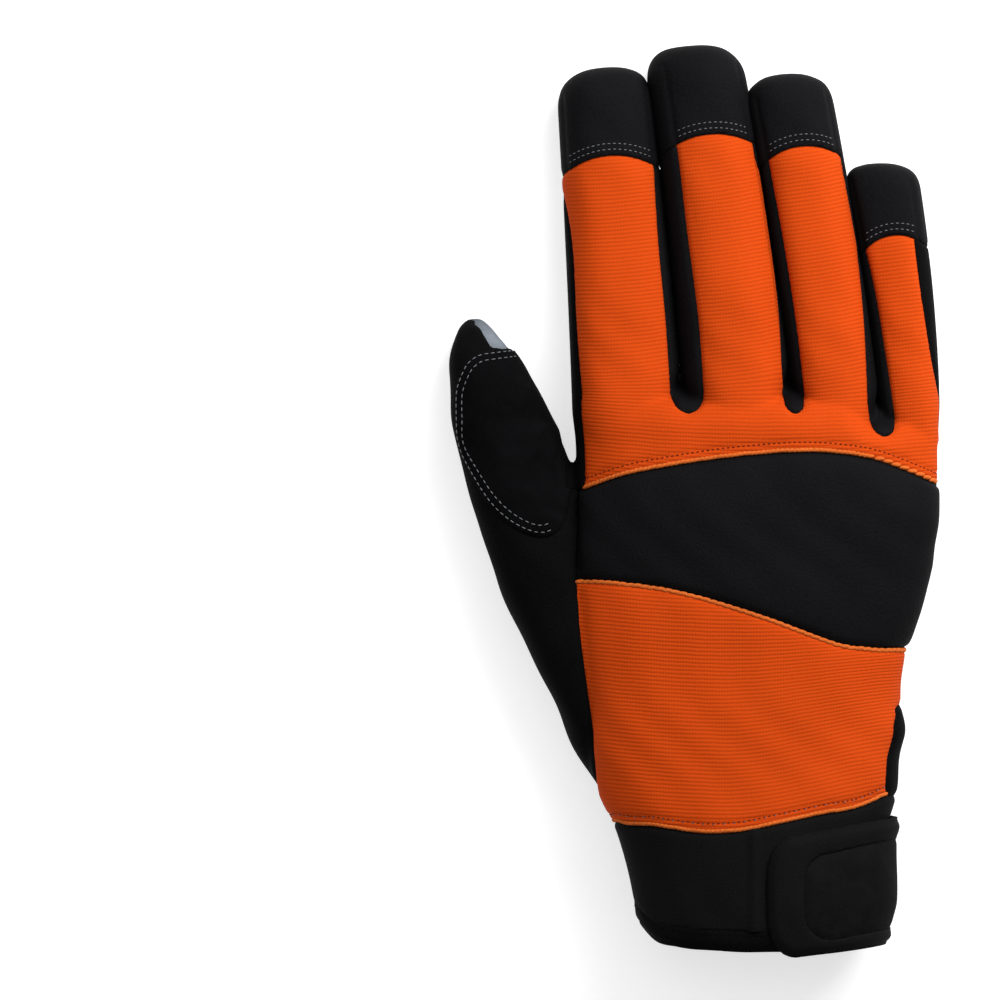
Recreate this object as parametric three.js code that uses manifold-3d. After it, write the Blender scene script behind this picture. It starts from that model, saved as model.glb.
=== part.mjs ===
// A right-hand mechanic glove that lies on its palm: back of the hand up, fingers along +Y, thumb towards -X.
// It is cut and sewn: every panel is a thin piece of one hollow hand form, and a narrow seam gap parts it from the next.
// Units are millimetres. The origin is under the middle of the glove, on the surface that it rests on.
import * as THREE from "three";
import { mergeVertices } from "three/addons/utils/BufferGeometryUtils.js";
import Module from "manifold-3d";

const wasm = await Module();
wasm.setup();

// Driving sizes of the hand form
const palmWidth = 100; // across the knuckles
const palmLength = 112; // from the cuff seam to the finger crotches
const palmThickness = 33; // at the knuckles, filled as a hand fills it
const cuffLength = 36; // from the hem to the cuff seam
const cuffWidth = 75; // at the seam, where the wrist goes through
const cuffThickness = 43;
const thumbLength = 133; // from the wrist end of the thumb gusset to its tip
const thumbThickness = 22;
const gussetStart = 4; // from the cuff seam to the wrist end of the thumb gusset
const fingerLength = 100; // of the middle finger, from the crotches
const fingerGap = 1.4; // free space between neighbouring fingers
const webSlope = 10; // how much further the web between two fingers reaches on the palm side

// Driving sizes of the cloth, the seams and what is sewn on
const clothThickness = 1.6;
const seamGap = 0.35;
const patchThickness = 1.5;
const thumbPatchThickness = 1;
const bindingWidth = 5.5;
const bindingProud = 0.5;
const palmEdge = 9; // how far the palm leather reaches up the sides of the hand
const fingerPalmEdge = 5; // and up the sides of the fingers
const thumbPalmEdge = 4; // and up the outer side of the thumb
const backEdge = 14; // where the panels of the back end on the little finger's side
const knitEdge = 23; // and on the index finger's side over the knuckles
const knitRoot = 12; // how far the knit strips of the fingers run into the knuckles
const capArch = 4; // how much further a fingertip cap reaches down at its sides
const strapThickness = 2.2;
const strapEdge = 4.4; // width of the turned border of the strap
const strapNose = 4; // how much wider the border is at the free end
const strapEdgeProud = 0.6;
const strapEnd = 5; // how far above the ground it ends on the little finger's side

// Fingers: base and the widths are shares of palmWidth, the thicknesses are shares of palmThickness, and lean is in
// degrees from +Y. The other lengths are shares of fingerLength: crotchDrop lowers the root of the little finger, and
// the cap columns are how far the tip cap reaches down the back and down the palm side. The last two are the edges of
// the knit strip on the back, as shares of half the finger's width; 1 ends it at shoulderShare.
const fingers = [
  { name: "index", base: -0.334, crotchDrop: 0, length: 0.935, lean: -4.3, bow: 0.003, rootWidth: 0.306, tipWidth: 0.254,
    rootThickness: 0.773, tipThickness: 0.53, capBack: 0.235, capPalm: 0.26, left: 1, right: 0.8 },
  { name: "middle", base: -0.029, crotchDrop: 0, length: 1, lean: -7.4, bow: 0.01, rootWidth: 0.298, tipWidth: 0.26,
    rootThickness: 0.833, tipThickness: 0.545, capBack: 0.245, capPalm: 0.31, left: 0.68, right: 1 },
  { name: "ring", base: 0.24, crotchDrop: 0, length: 0.917, lean: -8.9, bow: 0.009, rootWidth: 0.236, tipWidth: 0.238,
    rootThickness: 0.788, tipThickness: 0.53, capBack: 0.195, capPalm: 0.26, left: 0.76, right: 1 },
  { name: "little", base: 0.441, crotchDrop: 0.07, length: 0.68, lean: -6.8, bow: 0.004, rootWidth: 0.173, tipWidth: 0.194,
    rootThickness: 0.652, tipThickness: 0.47, capBack: 0.2, capPalm: 0.22, left: 0.72, right: 1 },
];
for (const f of fingers) {
  for (const key of ["base", "rootWidth", "tipWidth"]) f[key] *= palmWidth;
  for (const key of ["rootThickness", "tipThickness"]) f[key] *= palmThickness;
  for (const key of ["crotchDrop", "length", "bow", "capBack", "capPalm"]) f[key] *= fingerLength;
}

// The hand between the hem and the crotches. along is a share of palmLength above the cuff seam (below it, of
// cuffLength), centre and width are shares of palmWidth (of cuffWidth in the cuff), height is a share of
// palmThickness (of cuffThickness in the cuff), and fold is how far the side wall folds out, in shares of palmWidth.
const cuffRows = [
  { along: 0, centre: 0.038, width: 0.89, height: 1, fold: 0 },
  { along: 0.35, centre: 0.035, width: 0.917, height: 1, fold: 0 },
  { along: 0.9, centre: 0.007, width: 0.979, height: 0.94, fold: 0 },
];
const palmRows = [
  { along: 0.07, centre: -0.008, width: 0.82, height: 1.17, fold: 0 },
  { along: 0.145, centre: -0.018, width: 0.84, height: 1.13, fold: 0 },
  { along: 0.21, centre: -0.022, width: 0.85, height: 1.1, fold: 0.028 },
  { along: 0.275, centre: -0.025, width: 0.86, height: 1.08, fold: 0 },
  { along: 0.41, centre: -0.026, width: 0.905, height: 1.05, fold: 0 },
  { along: 0.58, centre: -0.006, width: 0.975, height: 1.02, fold: 0 },
  { along: 0.78, centre: 0.014, width: 1.0, height: 0.98, fold: 0 },
  { along: 0.9, centre: 0.021, width: 0.995, height: 0.92, fold: 0 },
  { along: 0.985, centre: 0.018, width: 1.0, height: 0.86, fold: 0 },
  { along: 1.01, centre: 0.018, width: 0.985, height: 0.8, fold: 0 },
  { along: 1.03, centre: 0.018, width: 0.95, height: 0.6, fold: 0 },
];

// The thumb with its gusset. along is a share of thumbLength from the wrist end, centre and width are shares of
// palmWidth, and height is a share of thumbThickness.
const thumbRows = [
  { along: 0.02, centre: -0.36, width: 0.09, height: 0.8 },
  { along: 0.12, centre: -0.405, width: 0.165, height: 1.02 },
  { along: 0.22, centre: -0.44, width: 0.21, height: 1.12 },
  { along: 0.32, centre: -0.482, width: 0.26, height: 1.14 },
  { along: 0.43, centre: -0.532, width: 0.295, height: 1.12 },
  { along: 0.54, centre: -0.575, width: 0.312, height: 1.08 },
  { along: 0.68, centre: -0.629, width: 0.308, height: 1 },
  { along: 0.8, centre: -0.678, width: 0.275, height: 0.92 },
  { along: 0.87, centre: -0.705, width: 0.232, height: 0.85 },
  { along: 0.92, centre: -0.723, width: 0.187, height: 0.76 },
  { along: 0.965, centre: -0.743, width: 0.125, height: 0.6 },
  { along: 0.99, centre: -0.754, width: 0.065, height: 0.38 },
];

// Seams on the back. across is a share of palmWidth and along a share of palmLength above the cuff seam.
const upperSeam = [
  { across: -0.461, along: 0.808 }, { across: -0.346, along: 0.843 }, { across: -0.241, along: 0.862 },
  { across: -0.1, along: 0.882 }, { across: 0.04, along: 0.895 }, { across: 0.137, along: 0.9 },
  { across: 0.25, along: 0.895 }, { across: 0.353, along: 0.879 }, { across: 0.425, along: 0.856 },
  { across: 0.507, along: 0.826 }, { across: 0.6, along: 0.79 },
];
const lowerSeam = [
  { across: -0.477, along: 0.583 }, { across: -0.346, along: 0.576 }, { across: -0.241, along: 0.563 },
  { across: -0.137, along: 0.542 }, { across: -0.031, along: 0.513 }, { across: 0.073, along: 0.482 },
  { across: 0.178, along: 0.447 }, { across: 0.248, along: 0.426 }, { across: 0.318, along: 0.417 },
  { across: 0.416, along: 0.413 }, { across: 0.54, along: 0.414 },
];
const cuffSeam = [
  { across: -0.419, along: 0.058 }, { across: -0.406, along: 0.01 }, { across: -0.364, along: -0.007 },
  { across: -0.268, along: -0.013 }, { across: -0.118, along: -0.028 }, { across: -0.03, along: -0.023 },
  { across: 0.077, along: -0.004 }, { across: 0.203, along: 0.019 }, { across: 0.278, along: 0.029 },
  { across: 0.329, along: 0.044 }, { across: 0.364, along: 0.058 },
];
const wristSide = [
  { across: 0.375, along: 0.1 }, { across: 0.38, along: 0.15 }, { across: 0.395, along: 0.2 },
  { across: 0.404, along: 0.25 }, { across: 0.425, along: 0.28 }, { across: 0.54, along: 0.3 },
];
const thumbSide = [
  { across: -0.419, along: 0.058 }, { across: -0.43, along: 0.143 }, { across: -0.438, along: 0.241 },
  { across: -0.452, along: 0.339 }, { across: -0.466, along: 0.437 }, { across: -0.477, along: 0.583 },
];

// Where the black side of the index finger reaches over to the palm side: shares of the finger's length from the
// crotch and of half its width.
const indexBand = [
  { along: 0.02, share: 1.25 }, { along: 0.1, share: 0.78 }, { along: 0.35, share: 0.6 }, { along: 0.5, share: 0.62 },
  { along: 0.55, share: 0.78 }, { along: 0.56, share: 1.25 },
];

// The line between the thumb and the index finger's side, in shares as the seams
const thumbGapLine = [
  { across: -0.3, along: 0.808 }, { across: -0.503, along: 0.81 }, { across: -0.505, along: 0.86 },
  { across: -0.6, along: 1.12 },
];

// The patch over the thumb and the web, and the end of the thumb that the palm leather wraps
const thumbPatchOutline = [
  { across: -0.712, along: 1.145 }, { across: -0.773, along: 1.124 }, { across: -0.798, along: 1.08 },
  { across: -0.806, along: 1.034 }, { across: -0.804, along: 0.955 }, { across: -0.793, along: 0.904 },
  { across: -0.77, along: 0.853 }, { across: -0.732, along: 0.79 }, { across: -0.694, along: 0.746 },
  { across: -0.645, along: 0.711 }, { across: -0.588, along: 0.69 }, { across: -0.542, along: 0.695 },
  { across: -0.51, along: 0.726 }, { across: -0.495, along: 0.787 }, { across: -0.495, along: 0.84 },
  { across: -0.52, along: 0.96 }, { across: -0.58, along: 1.13 },
];
// Its crescent on the palm side: shares of thumbLength and of half the thumb's width there.
const thumbCrescent = [
  { along: 0.68, share: 1.3 }, { along: 0.7, share: 0.8 }, { along: 0.76, share: 0.55 }, { along: 0.84, share: 0.42 },
  { along: 0.9, share: 0.5 }, { along: 0.94, share: 0.8 }, { along: 0.95, share: 1.3 },
];
const thumbTipWrap = [
  { across: -0.755, along: 1.3 }, { across: -0.742, along: 1.19 }, { across: -0.712, along: 1.148 },
  { across: -0.55, along: 1.133 }, { across: -0.6, along: 1.3 },
];

// Patches on the palm, in the same shares
const upperPatch = [
  { across: -0.38, along: 0.965 }, { across: -0.37, along: 1.0 }, { across: -0.3, along: 1.02 },
  { across: -0.2, along: 1.045 }, { across: -0.135, along: 1.12 }, { across: -0.115, along: 1.22 },
  { across: -0.07, along: 1.262 }, { across: -0.005, along: 1.255 }, { across: 0.025, along: 1.2 },
  { across: 0.03, along: 1.11 }, { across: 0.065, along: 1.055 }, { across: 0.115, along: 1.1 },
  { across: 0.135, along: 1.17 }, { across: 0.18, along: 1.21 }, { across: 0.235, along: 1.205 },
  { across: 0.265, along: 1.16 }, { across: 0.275, along: 1.08 }, { across: 0.305, along: 1.0 },
  { across: 0.375, along: 0.975 }, { across: 0.405, along: 0.935 }, { across: 0.4, along: 0.875 },
  { across: 0.36, along: 0.85 }, { across: 0.2, along: 0.845 }, { across: -0.1, along: 0.87 },
  { across: -0.33, along: 0.882 }, { across: -0.375, along: 0.905 },
];
const lowerPatch = [
  { across: -0.57, along: 0.47 }, { across: -0.545, along: 0.6 }, { across: -0.44, along: 0.72 },
  { across: -0.33, along: 0.795 }, { across: -0.22, along: 0.805 }, { across: 0.1, along: 0.78 },
  { across: 0.26, along: 0.76 }, { across: 0.33, along: 0.72 }, { across: 0.335, along: 0.66 },
  { across: 0.25, along: 0.625 }, { across: 0.04, along: 0.585 }, { across: -0.07, along: 0.55 },
  { across: -0.115, along: 0.565 }, { across: -0.145, along: 0.61 }, { across: -0.2, along: 0.615 },
  { across: -0.235, along: 0.56 }, { across: -0.245, along: 0.48 }, { across: -0.225, along: 0.43 },
  { across: -0.16, along: 0.425 }, { across: -0.03, along: 0.48 }, { across: 0.1, along: 0.535 },
  { across: 0.22, along: 0.555 }, { across: 0.31, along: 0.535 }, { across: 0.345, along: 0.45 },
  { across: 0.335, along: 0.3 }, { across: 0.28, along: 0.205 }, { across: 0.17, along: 0.155 },
  { across: 0.05, along: 0.15 }, { across: -0.25, along: 0.175 }, { across: -0.38, along: 0.215 },
  { across: -0.5, along: 0.335 },
];

// The wrist strap: its free end is round, it widens towards the little finger's side, and it ends there near the
// ground, sewn to the cuff. Its corners are shares of cuffWidth and cuffLength.
const strapCorners = { left: 0.055, leftRoot: 0.13, right: 0.7, lowLeft: -0.02, lowRight: 0.115,
  highLeft: 0.88, highRight: 1.11 };
function strapShape(grow) {
  const c = strapCorners;
  const nose = grow < 0 ? strapNose : 0;
  const left = c.left * cuffWidth - grow + nose;
  const root = c.leftRoot * cuffWidth - grow + nose;
  const right = c.right * cuffWidth;
  const low = c.lowLeft * cuffLength - grow;
  const high = c.highLeft * cuffLength + grow;
  const shape = new THREE.Path();
  shape.moveTo(right, c.lowRight * cuffLength - grow);
  shape.lineTo(right, c.highRight * cuffLength + grow);
  shape.lineTo(root, high);
  shape.quadraticCurveTo(left, high, left, lerp(low, high, 0.8));
  shape.lineTo(left, lerp(low, high, 0.2));
  shape.quadraticCurveTo(left, low, root, low);
  return shape.getPoints(4).slice(0, -1);
}

// Levels: the patches lie on the ground, the palm rests on them, and the fingers reach the ground past them
const palmLevel = patchThickness + seamGap;
const thumbPatchCover = thumbPatchThickness + seamGap;
const cuffSeamY = cuffLength;
const crotchY = cuffLength + palmLength;
const midGap = 0.4 * fingerGap; // how far a cut past a finger's side stays from it
const patchEndY = crotchY + 0.29 * palmLength;
const fingerDownLength = 16; // over which the underside of a finger comes down to the ground
const thumbStartY = cuffLength + gussetStart;
const roundness = 2.4; // exponent of the superellipse sections
const shoulderShare = 0.78; // height of the knit's edge on a rounded side, as a share of the top's height
const flatShare = 0.22; // lowest share of a section that the ground flattens
const sideStart = -0.3; // where the sides of the fingers start to part, as a share of their length from the crotches
const indexSideReach = 0.56; // across the palm side, as a share of palmWidth, so that the thumb is left out

// Colours and finishes
const orangeKnit = new THREE.MeshStandardMaterial({ color: 0xe8591a, roughness: 0.85, metalness: 0 });
const blackCloth = new THREE.MeshStandardMaterial({ color: 0x161618, roughness: 0.9, metalness: 0 });
const neoprene = new THREE.MeshStandardMaterial({ color: 0x1b1b1d, roughness: 0.75, metalness: 0 });
const greySuede = new THREE.MeshStandardMaterial({ color: 0x5f656b, roughness: 0.95, metalness: 0 });
const blackGrip = new THREE.MeshStandardMaterial({ color: 0x222224, roughness: 0.7, metalness: 0 });

const lerp = (a, b, t) => a + (b - a) * t;
const smooth = (edge0, edge1, x) => THREE.MathUtils.smoothstep(x, edge0, edge1);
const radians = THREE.MathUtils.degToRad;

// A closed geometry as a manifold solid.
function solidOf(geometry) {
  const bare = geometry.index ? geometry.toNonIndexed() : geometry.clone();
  bare.deleteAttribute("normal");
  bare.deleteAttribute("uv");
  const merged = mergeVertices(bare, 1e-4);
  return new wasm.Manifold(new wasm.Mesh({
    numProp: 3,
    vertProperties: merged.attributes.position.array,
    triVerts: new Uint32Array(merged.index.array),
  }));
}

// A skin through rings of points that all have the same count, closed at both ends.
function loft(rings) {
  const count = rings[0].length;
  const corners = rings.flat();
  const index = [];
  for (let r = 0; r + 1 < rings.length; r++) {
    for (let i = 0; i < count; i++) {
      const a = r * count + i;
      const b = r * count + ((i + 1) % count);
      index.push(a, a + count, b, b, a + count, b + count);
    }
  }
  for (const [ring, turned] of [[0, false], [rings.length - 1, true]]) {
    const centre = rings[ring].reduce((sum, p) => sum.add(p), new THREE.Vector3()).divideScalar(count);
    const hub = corners.push(centre) - 1;
    for (let i = 0; i < count; i++) {
      const a = ring * count + i;
      const b = ring * count + ((i + 1) % count);
      index.push(...(turned ? [a, hub, b] : [b, hub, a]));
    }
  }
  const geometry = new THREE.BufferGeometry().setFromPoints(corners);
  geometry.setIndex(index);
  return geometry;
}

// One superellipse ring across the glove. inset moves it inwards by a wall, or outwards if it is negative, fold
// bulges the side towards +X and skew moves a point along the glove.
function ringOf({ y, centre, width, top, bottom, fold = 0, skew = () => 0 }, inset, count) {
  const half = Math.max(width / 2 - inset, 0.4);
  const low = bottom + inset;
  const high = Math.max(top - inset, low + 0.8);
  const reach = (high - low) / (1 - flatShare / 2) / 2; // the lowest part is cut flat by the ground
  const middle = high - reach;
  const ring = [];
  for (let i = 0; i < count; i++) {
    const angle = (2 * Math.PI * i) / count;
    const round = (v) => Math.sign(v) * Math.abs(v) ** (2 / roundness);
    const across = round(Math.cos(angle));
    const up = round(Math.sin(angle));
    const x = centre + half * across + (across > 0 ? fold * across ** 6 * (1 - up ** 2) : 0);
    ring.push(new THREE.Vector3(x, y + skew(x, up), Math.max(middle + reach * up, low)));
  }
  return ring;
}

const fingerX = (f, y) => {
  const t = (y - crotchY) / f.length;
  return f.base + (t > 0 ? Math.tan(radians(f.lean)) * (y - crotchY) + f.bow * 4 * t * (1 - t) : 0);
};
const fingerWidth = (f, y) =>
  lerp(f.rootWidth, f.tipWidth, THREE.MathUtils.clamp((y - crotchY) / f.length, 0, 1)) - fingerGap;
const fingerTop = (f, y) => lerp(f.rootThickness, f.tipThickness, Math.max((y - crotchY) / f.length, 0));
const fingerBottom = (y) => palmLevel * (1 - smooth(patchEndY, patchEndY + fingerDownLength, y));

// Rings of a finger: straight rows, then a dome whose rows follow a superellipse.
const fingerStraight = [-0.14, 0.02, 0.25, 0.4, 0.52, 0.7];
const domeRows = [0, 0.5, 0.82, 1];
function fingerRings(f, inset, count = 14) {
  const tipY = crotchY + f.length;
  const dome = 0.46 * f.tipWidth;
  const rows = fingerStraight.map((t) => ({ y: crotchY + t * f.length, share: 1 }));
  for (const d of domeRows) {
    rows.push({ y: tipY - dome + (dome - inset) * d, share: Math.max((1 - d ** 2.3) ** (1 / 2.3), 0.12) });
  }
  return rows.map(({ y, share }) => {
    const top = fingerTop(f, y);
    const bottom = fingerBottom(y);
    const middle = lerp(bottom, top, 0.42);
    const width = fingerWidth(f, y) - 2 * inset;
    return ringOf({
      y, centre: fingerX(f, y), width: width * share,
      top: lerp(middle, top - inset, share), bottom: lerp(middle, bottom + inset, share),
    }, 0, count);
  });
}

// Rings of the hand, from past the hem to the crotches.
const littleDrop = (x) => {
  const [ring, little] = fingers.slice(2);
  return little.crotchDrop * smooth(ring.base, (ring.base + little.base) / 2, x);
};
function handRings(inset, count = 24) {
  const rows = [
    ...cuffRows.map((r) => ({
      y: r.along * cuffLength, centre: r.centre * cuffWidth, width: r.width * cuffWidth,
      top: r.height * cuffThickness, bottom: bindingProud,
    })),
    ...palmRows.map((r) => ({
      y: cuffSeamY + r.along * palmLength, centre: r.centre * palmWidth, width: r.width * palmWidth,
      top: r.height * palmThickness, bottom: palmLevel, fold: r.fold * palmWidth,
      skew: (x, up) => smooth(0.8, 1, r.along) * ((webSlope * (1 - up)) / 2 - littleDrop(x)),
    })),
  ];
  const last = rows[rows.length - 1];
  last.y -= inset;
  if (inset !== 0) rows.unshift({ ...rows[0], y: -cuffLength / 3 }); // past the hem, so that its mouth is open
  return rows.map((r) => ringOf(r, inset, count));
}

// The thumb's row at a share of its length
function thumbAt(along) {
  const next = Math.max(thumbRows.findIndex((r) => r.along >= along), 1);
  const [a, b] = [thumbRows[next - 1], thumbRows[next]];
  const t = (along - a.along) / (b.along - a.along);
  return { centre: lerp(a.centre, b.centre, t), width: lerp(a.width, b.width, t) };
}
function thumbRings(inset, count = 16) {
  return thumbRows.map((r) => {
    const y = thumbStartY + r.along * thumbLength;
    return ringOf({
      y: y - inset * r.along ** 6, centre: r.centre * palmWidth, width: r.width * palmWidth,
      top: r.height * thumbThickness, bottom: lerp(palmLevel, thumbPatchCover, smooth(0.5, 0.66, r.along)),
    }, inset, count);
  });
}

// The hand form, grown outwards by grow.
function handForm(grow) {
  const parts = [handRings(-grow), thumbRings(-grow), ...fingers.map((f) => fingerRings(f, -grow))];
  return parts.map((rings) => solidOf(loft(rings))).reduce((whole, part) => whole.add(part));
}

// The form and what is left of it as a wall
const skin = handForm(0);
const shell = skin.subtract(handForm(-clothThickness));
const cover = (from, to) => handForm(to).subtract(handForm(from));

const far = 400; // past the end of the glove in every direction

// An upright prism over an outline in the XY plane.
function prism(outline, low = -far, high = far) {
  const shape = new THREE.Shape(outline);
  const geometry = new THREE.ExtrudeGeometry(shape, { depth: high - low, bevelEnabled: false });
  geometry.translate(0, 0, low);
  return solidOf(geometry);
}
const points = (rows) => rows.map(({ across, along }) =>
  new THREE.Vector2(across * palmWidth, cuffSeamY + along * palmLength));
const box = (x0, x1, y0, y1, low, high) => prism([
  new THREE.Vector2(x0, y0), new THREE.Vector2(x1, y0), new THREE.Vector2(x1, y1), new THREE.Vector2(x0, y1),
], low, high);
const together = (solids) => solids.reduce((whole, part) => whole.add(part));

// All that lies past a seam towards the fingertips, shifted by shift along the glove.
function pastSeam(seam, shift) {
  const line = points(seam).map((p) => new THREE.Vector2(p.x, p.y + shift));
  const first = new THREE.Vector2(-far, line[0].y);
  const last = new THREE.Vector2(far, line[line.length - 1].y);
  return prism([first, ...line, last, new THREE.Vector2(far, far), new THREE.Vector2(-far, far)]);
}

// All that lies on the little finger's side of a seam that runs along the glove, shifted by shift across it.
function besideSeam(seam, shift, low, high) {
  const line = points(seam).map((p) => new THREE.Vector2(p.x + shift, p.y));
  const first = new THREE.Vector2(line[0].x, -far);
  const last = new THREE.Vector2(line[line.length - 1].x, far);
  return prism([first, ...line, last, new THREE.Vector2(far, far), new THREE.Vector2(far, -far)], low, high);
}

// A prism along X over an outline whose points hold Y and Z.
function sidePrism(outline, x0 = -far, x1 = far) {
  const geometry = new THREE.ExtrudeGeometry(new THREE.Shape(outline), { depth: x1 - x0, bevelEnabled: false });
  geometry.translate(0, 0, x0);
  const turned = new THREE.Matrix4().makeBasis(
    new THREE.Vector3(0, 1, 0), new THREE.Vector3(0, 0, 1), new THREE.Vector3(1, 0, 0));
  return solidOf(geometry.applyMatrix4(turned));
}

// A strip along a finger between two shares of its half width, above the shoulder height, grown by grow.
function backStrip(f, start, grow) {
  const rows = [0, 0.25, 0.5, 0.75, 1.1].map((t) => start + t * (crotchY + f.length - start));
  const edge = (side, share) => rows.map((y) => {
    const reach = share < 1 ? (share * fingerWidth(f, y)) / 2 + grow : fingerWidth(f, y) / 2 + midGap;
    return new THREE.Vector2(fingerX(f, y) + side * reach, y);
  });
  const shoulder = rows.map((y) => new THREE.Vector2(y, shoulderShare * fingerTop(f, y) - grow));
  const above = [...shoulder, new THREE.Vector2(rows[rows.length - 1], far), new THREE.Vector2(start, far)];
  return prism([...edge(-1, f.left), ...edge(1, f.right).reverse()]).intersect(sidePrism(above));
}

// The end of a finger that its tip cap covers: an arched edge, sheared so that it reaches further on the palm side.
function capZone(f, grow) {
  const tipY = crotchY + f.length;
  const edgeY = tipY - f.capBack;
  const reach = Math.max(fingerWidth(f, edgeY), fingerWidth(f, tipY)) / 2 + midGap;
  const arch = [-1, -0.7, -0.35, 0, 0.35, 0.7, 1].map((s) => {
    const y = edgeY - capArch * s ** 2 - grow;
    return new THREE.Vector2(fingerX(f, y) + s * reach, y);
  });
  const end = [[reach, tipY], [reach, far], [-reach, far], [-reach, tipY]].map(([x, y]) =>
    new THREE.Vector2(fingerX(f, tipY) + x, y));
  const shape = new THREE.Shape([...arch, ...end]);
  const geometry = new THREE.ExtrudeGeometry(shape, { depth: 1, bevelEnabled: false });
  const top = fingerTop(f, edgeY);
  const lean = (f.capPalm - f.capBack) / top;
  const place = geometry.attributes.position;
  for (let i = 0; i < place.count; i++) {
    const z = place.getZ(i) > 0.5 ? 2 * top : -top;
    const shift = lean * (z - top);
    place.setXYZ(i, place.getX(i) + Math.tan(radians(f.lean)) * shift, place.getY(i) + shift, z);
  }
  return solidOf(geometry);
}
const caps = (grow) => together(fingers.map((f) => capZone(f, grow)));

// The cuff: all round below the cuff seam, which runs straight on the palm side.
const cuffZone = (grow) => together([
  box(-far, far, -far, far, palmEdge + seamGap / 2, far).subtract(pastSeam(cuffSeam, grow)),
  box(-far, far, -far, cuffSeamY + grow, -far, palmEdge + seamGap / 2 + 0.01),
]);

// The knit over the knuckles and the backs of the fingers
function upperZone(grow) {
  const middle = fingers[1].base;
  const rim = [-0.6, 0.24, 0.3, 0.34, 0.38, 0.6].map((share) => share * palmWidth).map((x) =>
    new THREE.Vector2(x, crotchY - littleDrop(x) + grow));
  const base = (x0, x1, low) => prism([
    new THREE.Vector2(-0.6 * palmWidth, 0), ...rim, new THREE.Vector2(0.6 * palmWidth, 0),
  ]).intersect(box(x0, x1, 0, far, low - grow, far));
  const strips = fingers.map((f) => backStrip(f, crotchY - knitRoot, grow));
  return together([base(-far, middle, knitEdge), base(middle, far, backEdge), ...strips])
    .intersect(pastSeam(upperSeam, -grow)).subtract(caps(-grow));
}

// The panels of the back below the knuckles, between the thumb's seam and the little finger's side
const backZone = (grow) => besideSeam(thumbSide, -grow, backEdge - grow, far)
  .subtract(besideSeam(wristSide, grow));
const padZone = (grow) => backZone(grow).intersect(pastSeam(lowerSeam, -grow)).subtract(pastSeam(upperSeam, grow));
const lowerZone = (grow) => backZone(grow).subtract(pastSeam(lowerSeam, grow)).subtract(cuffZone(-grow));

// The palm leather: all that lies low, and the wrap over the thumb's tip, without the bands that the black sides
// take on the palm side of the index finger and on the outer side of the thumb
function palmZone(grow) {
  const low = sidePrism([
    new THREE.Vector2(-far, -far), new THREE.Vector2(far, -far), new THREE.Vector2(far, fingerPalmEdge + grow),
    new THREE.Vector2(crotchY + webSlope, fingerPalmEdge + grow), new THREE.Vector2(crotchY - webSlope, palmEdge + grow),
    new THREE.Vector2(-far, palmEdge + grow),
  ]);
  const index = fingers[0];
  const band = indexBand.map(({ along, share }) => {
    const y = crotchY + along * index.length;
    return new THREE.Vector2(fingerX(index, y) - (share * fingerWidth(index, y)) / 2 - grow, y);
  });
  const bandEnd = band[band.length - 1].y;
  const indexSide = prism([...band, new THREE.Vector2(-far, bandEnd), new THREE.Vector2(-far, band[0].y)])
    .intersect(box(-indexSideReach * palmWidth, 0, 0, far, -far, far));
  const ridge = thumbRows.map((r) => new THREE.Vector2(r.centre * palmWidth, thumbStartY + r.along * thumbLength));
  const tip = ridge[ridge.length - 1];
  const thumbSideBand = prism([
    ...ridge, new THREE.Vector2(tip.x, far), new THREE.Vector2(-far, far), new THREE.Vector2(-far, ridge[0].y),
  ], thumbPalmEdge + grow, far);
  return low.subtract(indexSide).subtract(thumbSideBand).add(prism(points(thumbTipWrap)));
}

// The black sides, parted along the middles of the fingers
function besideFinger(f) {
  const rows = [sideStart, 0, 0.25, 0.5, 0.75, 1.1].map((t) => crotchY + t * f.length);
  const line = rows.map((y) => new THREE.Vector2(fingerX(f, y), y));
  return prism([...line, new THREE.Vector2(far, rows[rows.length - 1]), new THREE.Vector2(far, rows[0])]);
}
const thumbGap = (grow) => prism([
  ...points(thumbGapLine).map((p) => new THREE.Vector2(p.x - grow, p.y - grow)),
  new THREE.Vector2(-0.6 * palmWidth, far), new THREE.Vector2(0, far),
  new THREE.Vector2(0, points(thumbGapLine)[0].y - grow),
]);

// The pieces
const half = seamGap / 2; // every seam is shared by its two sides
const pieces = new Map();
const largest = (solid) => solid.decompose().sort((a, b) => b.volume() - a.volume())[0];
const keep = (name, solid, material) => pieces.set(name, { solid: largest(solid), material });

keep("back_panel_upper", shell.intersect(upperZone(-half)), orangeKnit);
keep("knuckle_pad", shell.intersect(padZone(-half)), blackCloth);
keep("back_panel_lower", shell.intersect(lowerZone(-half)), orangeKnit);
for (const f of fingers) keep(`fingertip_cap_${f.name}`, shell.intersect(capZone(f, -half)), blackCloth);
keep("palm_leather", shell.intersect(palmZone(-half)).subtract(caps(half)).subtract(cuffZone(half)), greySuede);

const sides = [upperZone, padZone, lowerZone, palmZone, cuffZone, caps]
  .reduce((rest, zone) => rest.subtract(zone(half)), shell);
const wristCorner = box(0, far, 0, crotchY + sideStart * fingers[3].length + 1, -far, far); // 1 mm into the next zone
const beside = fingers.map(besideFinger);
keep("side_wall_index", sides.intersect(thumbGap(-half)).subtract(beside[0]), blackCloth);
for (let i = 0; i < 3; i++) {
  const name = `fourchette_${fingers[i].name}_${fingers[i + 1].name}`;
  keep(name, sides.intersect(beside[i]).subtract(beside[i + 1]).subtract(wristCorner), blackCloth);
}
keep("side_wall_little", sides.intersect(beside[3].add(wristCorner)), blackCloth);
keep("thumb_back", sides.subtract(thumbGap(half)).subtract(beside[0]).subtract(wristCorner), blackCloth);

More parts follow.
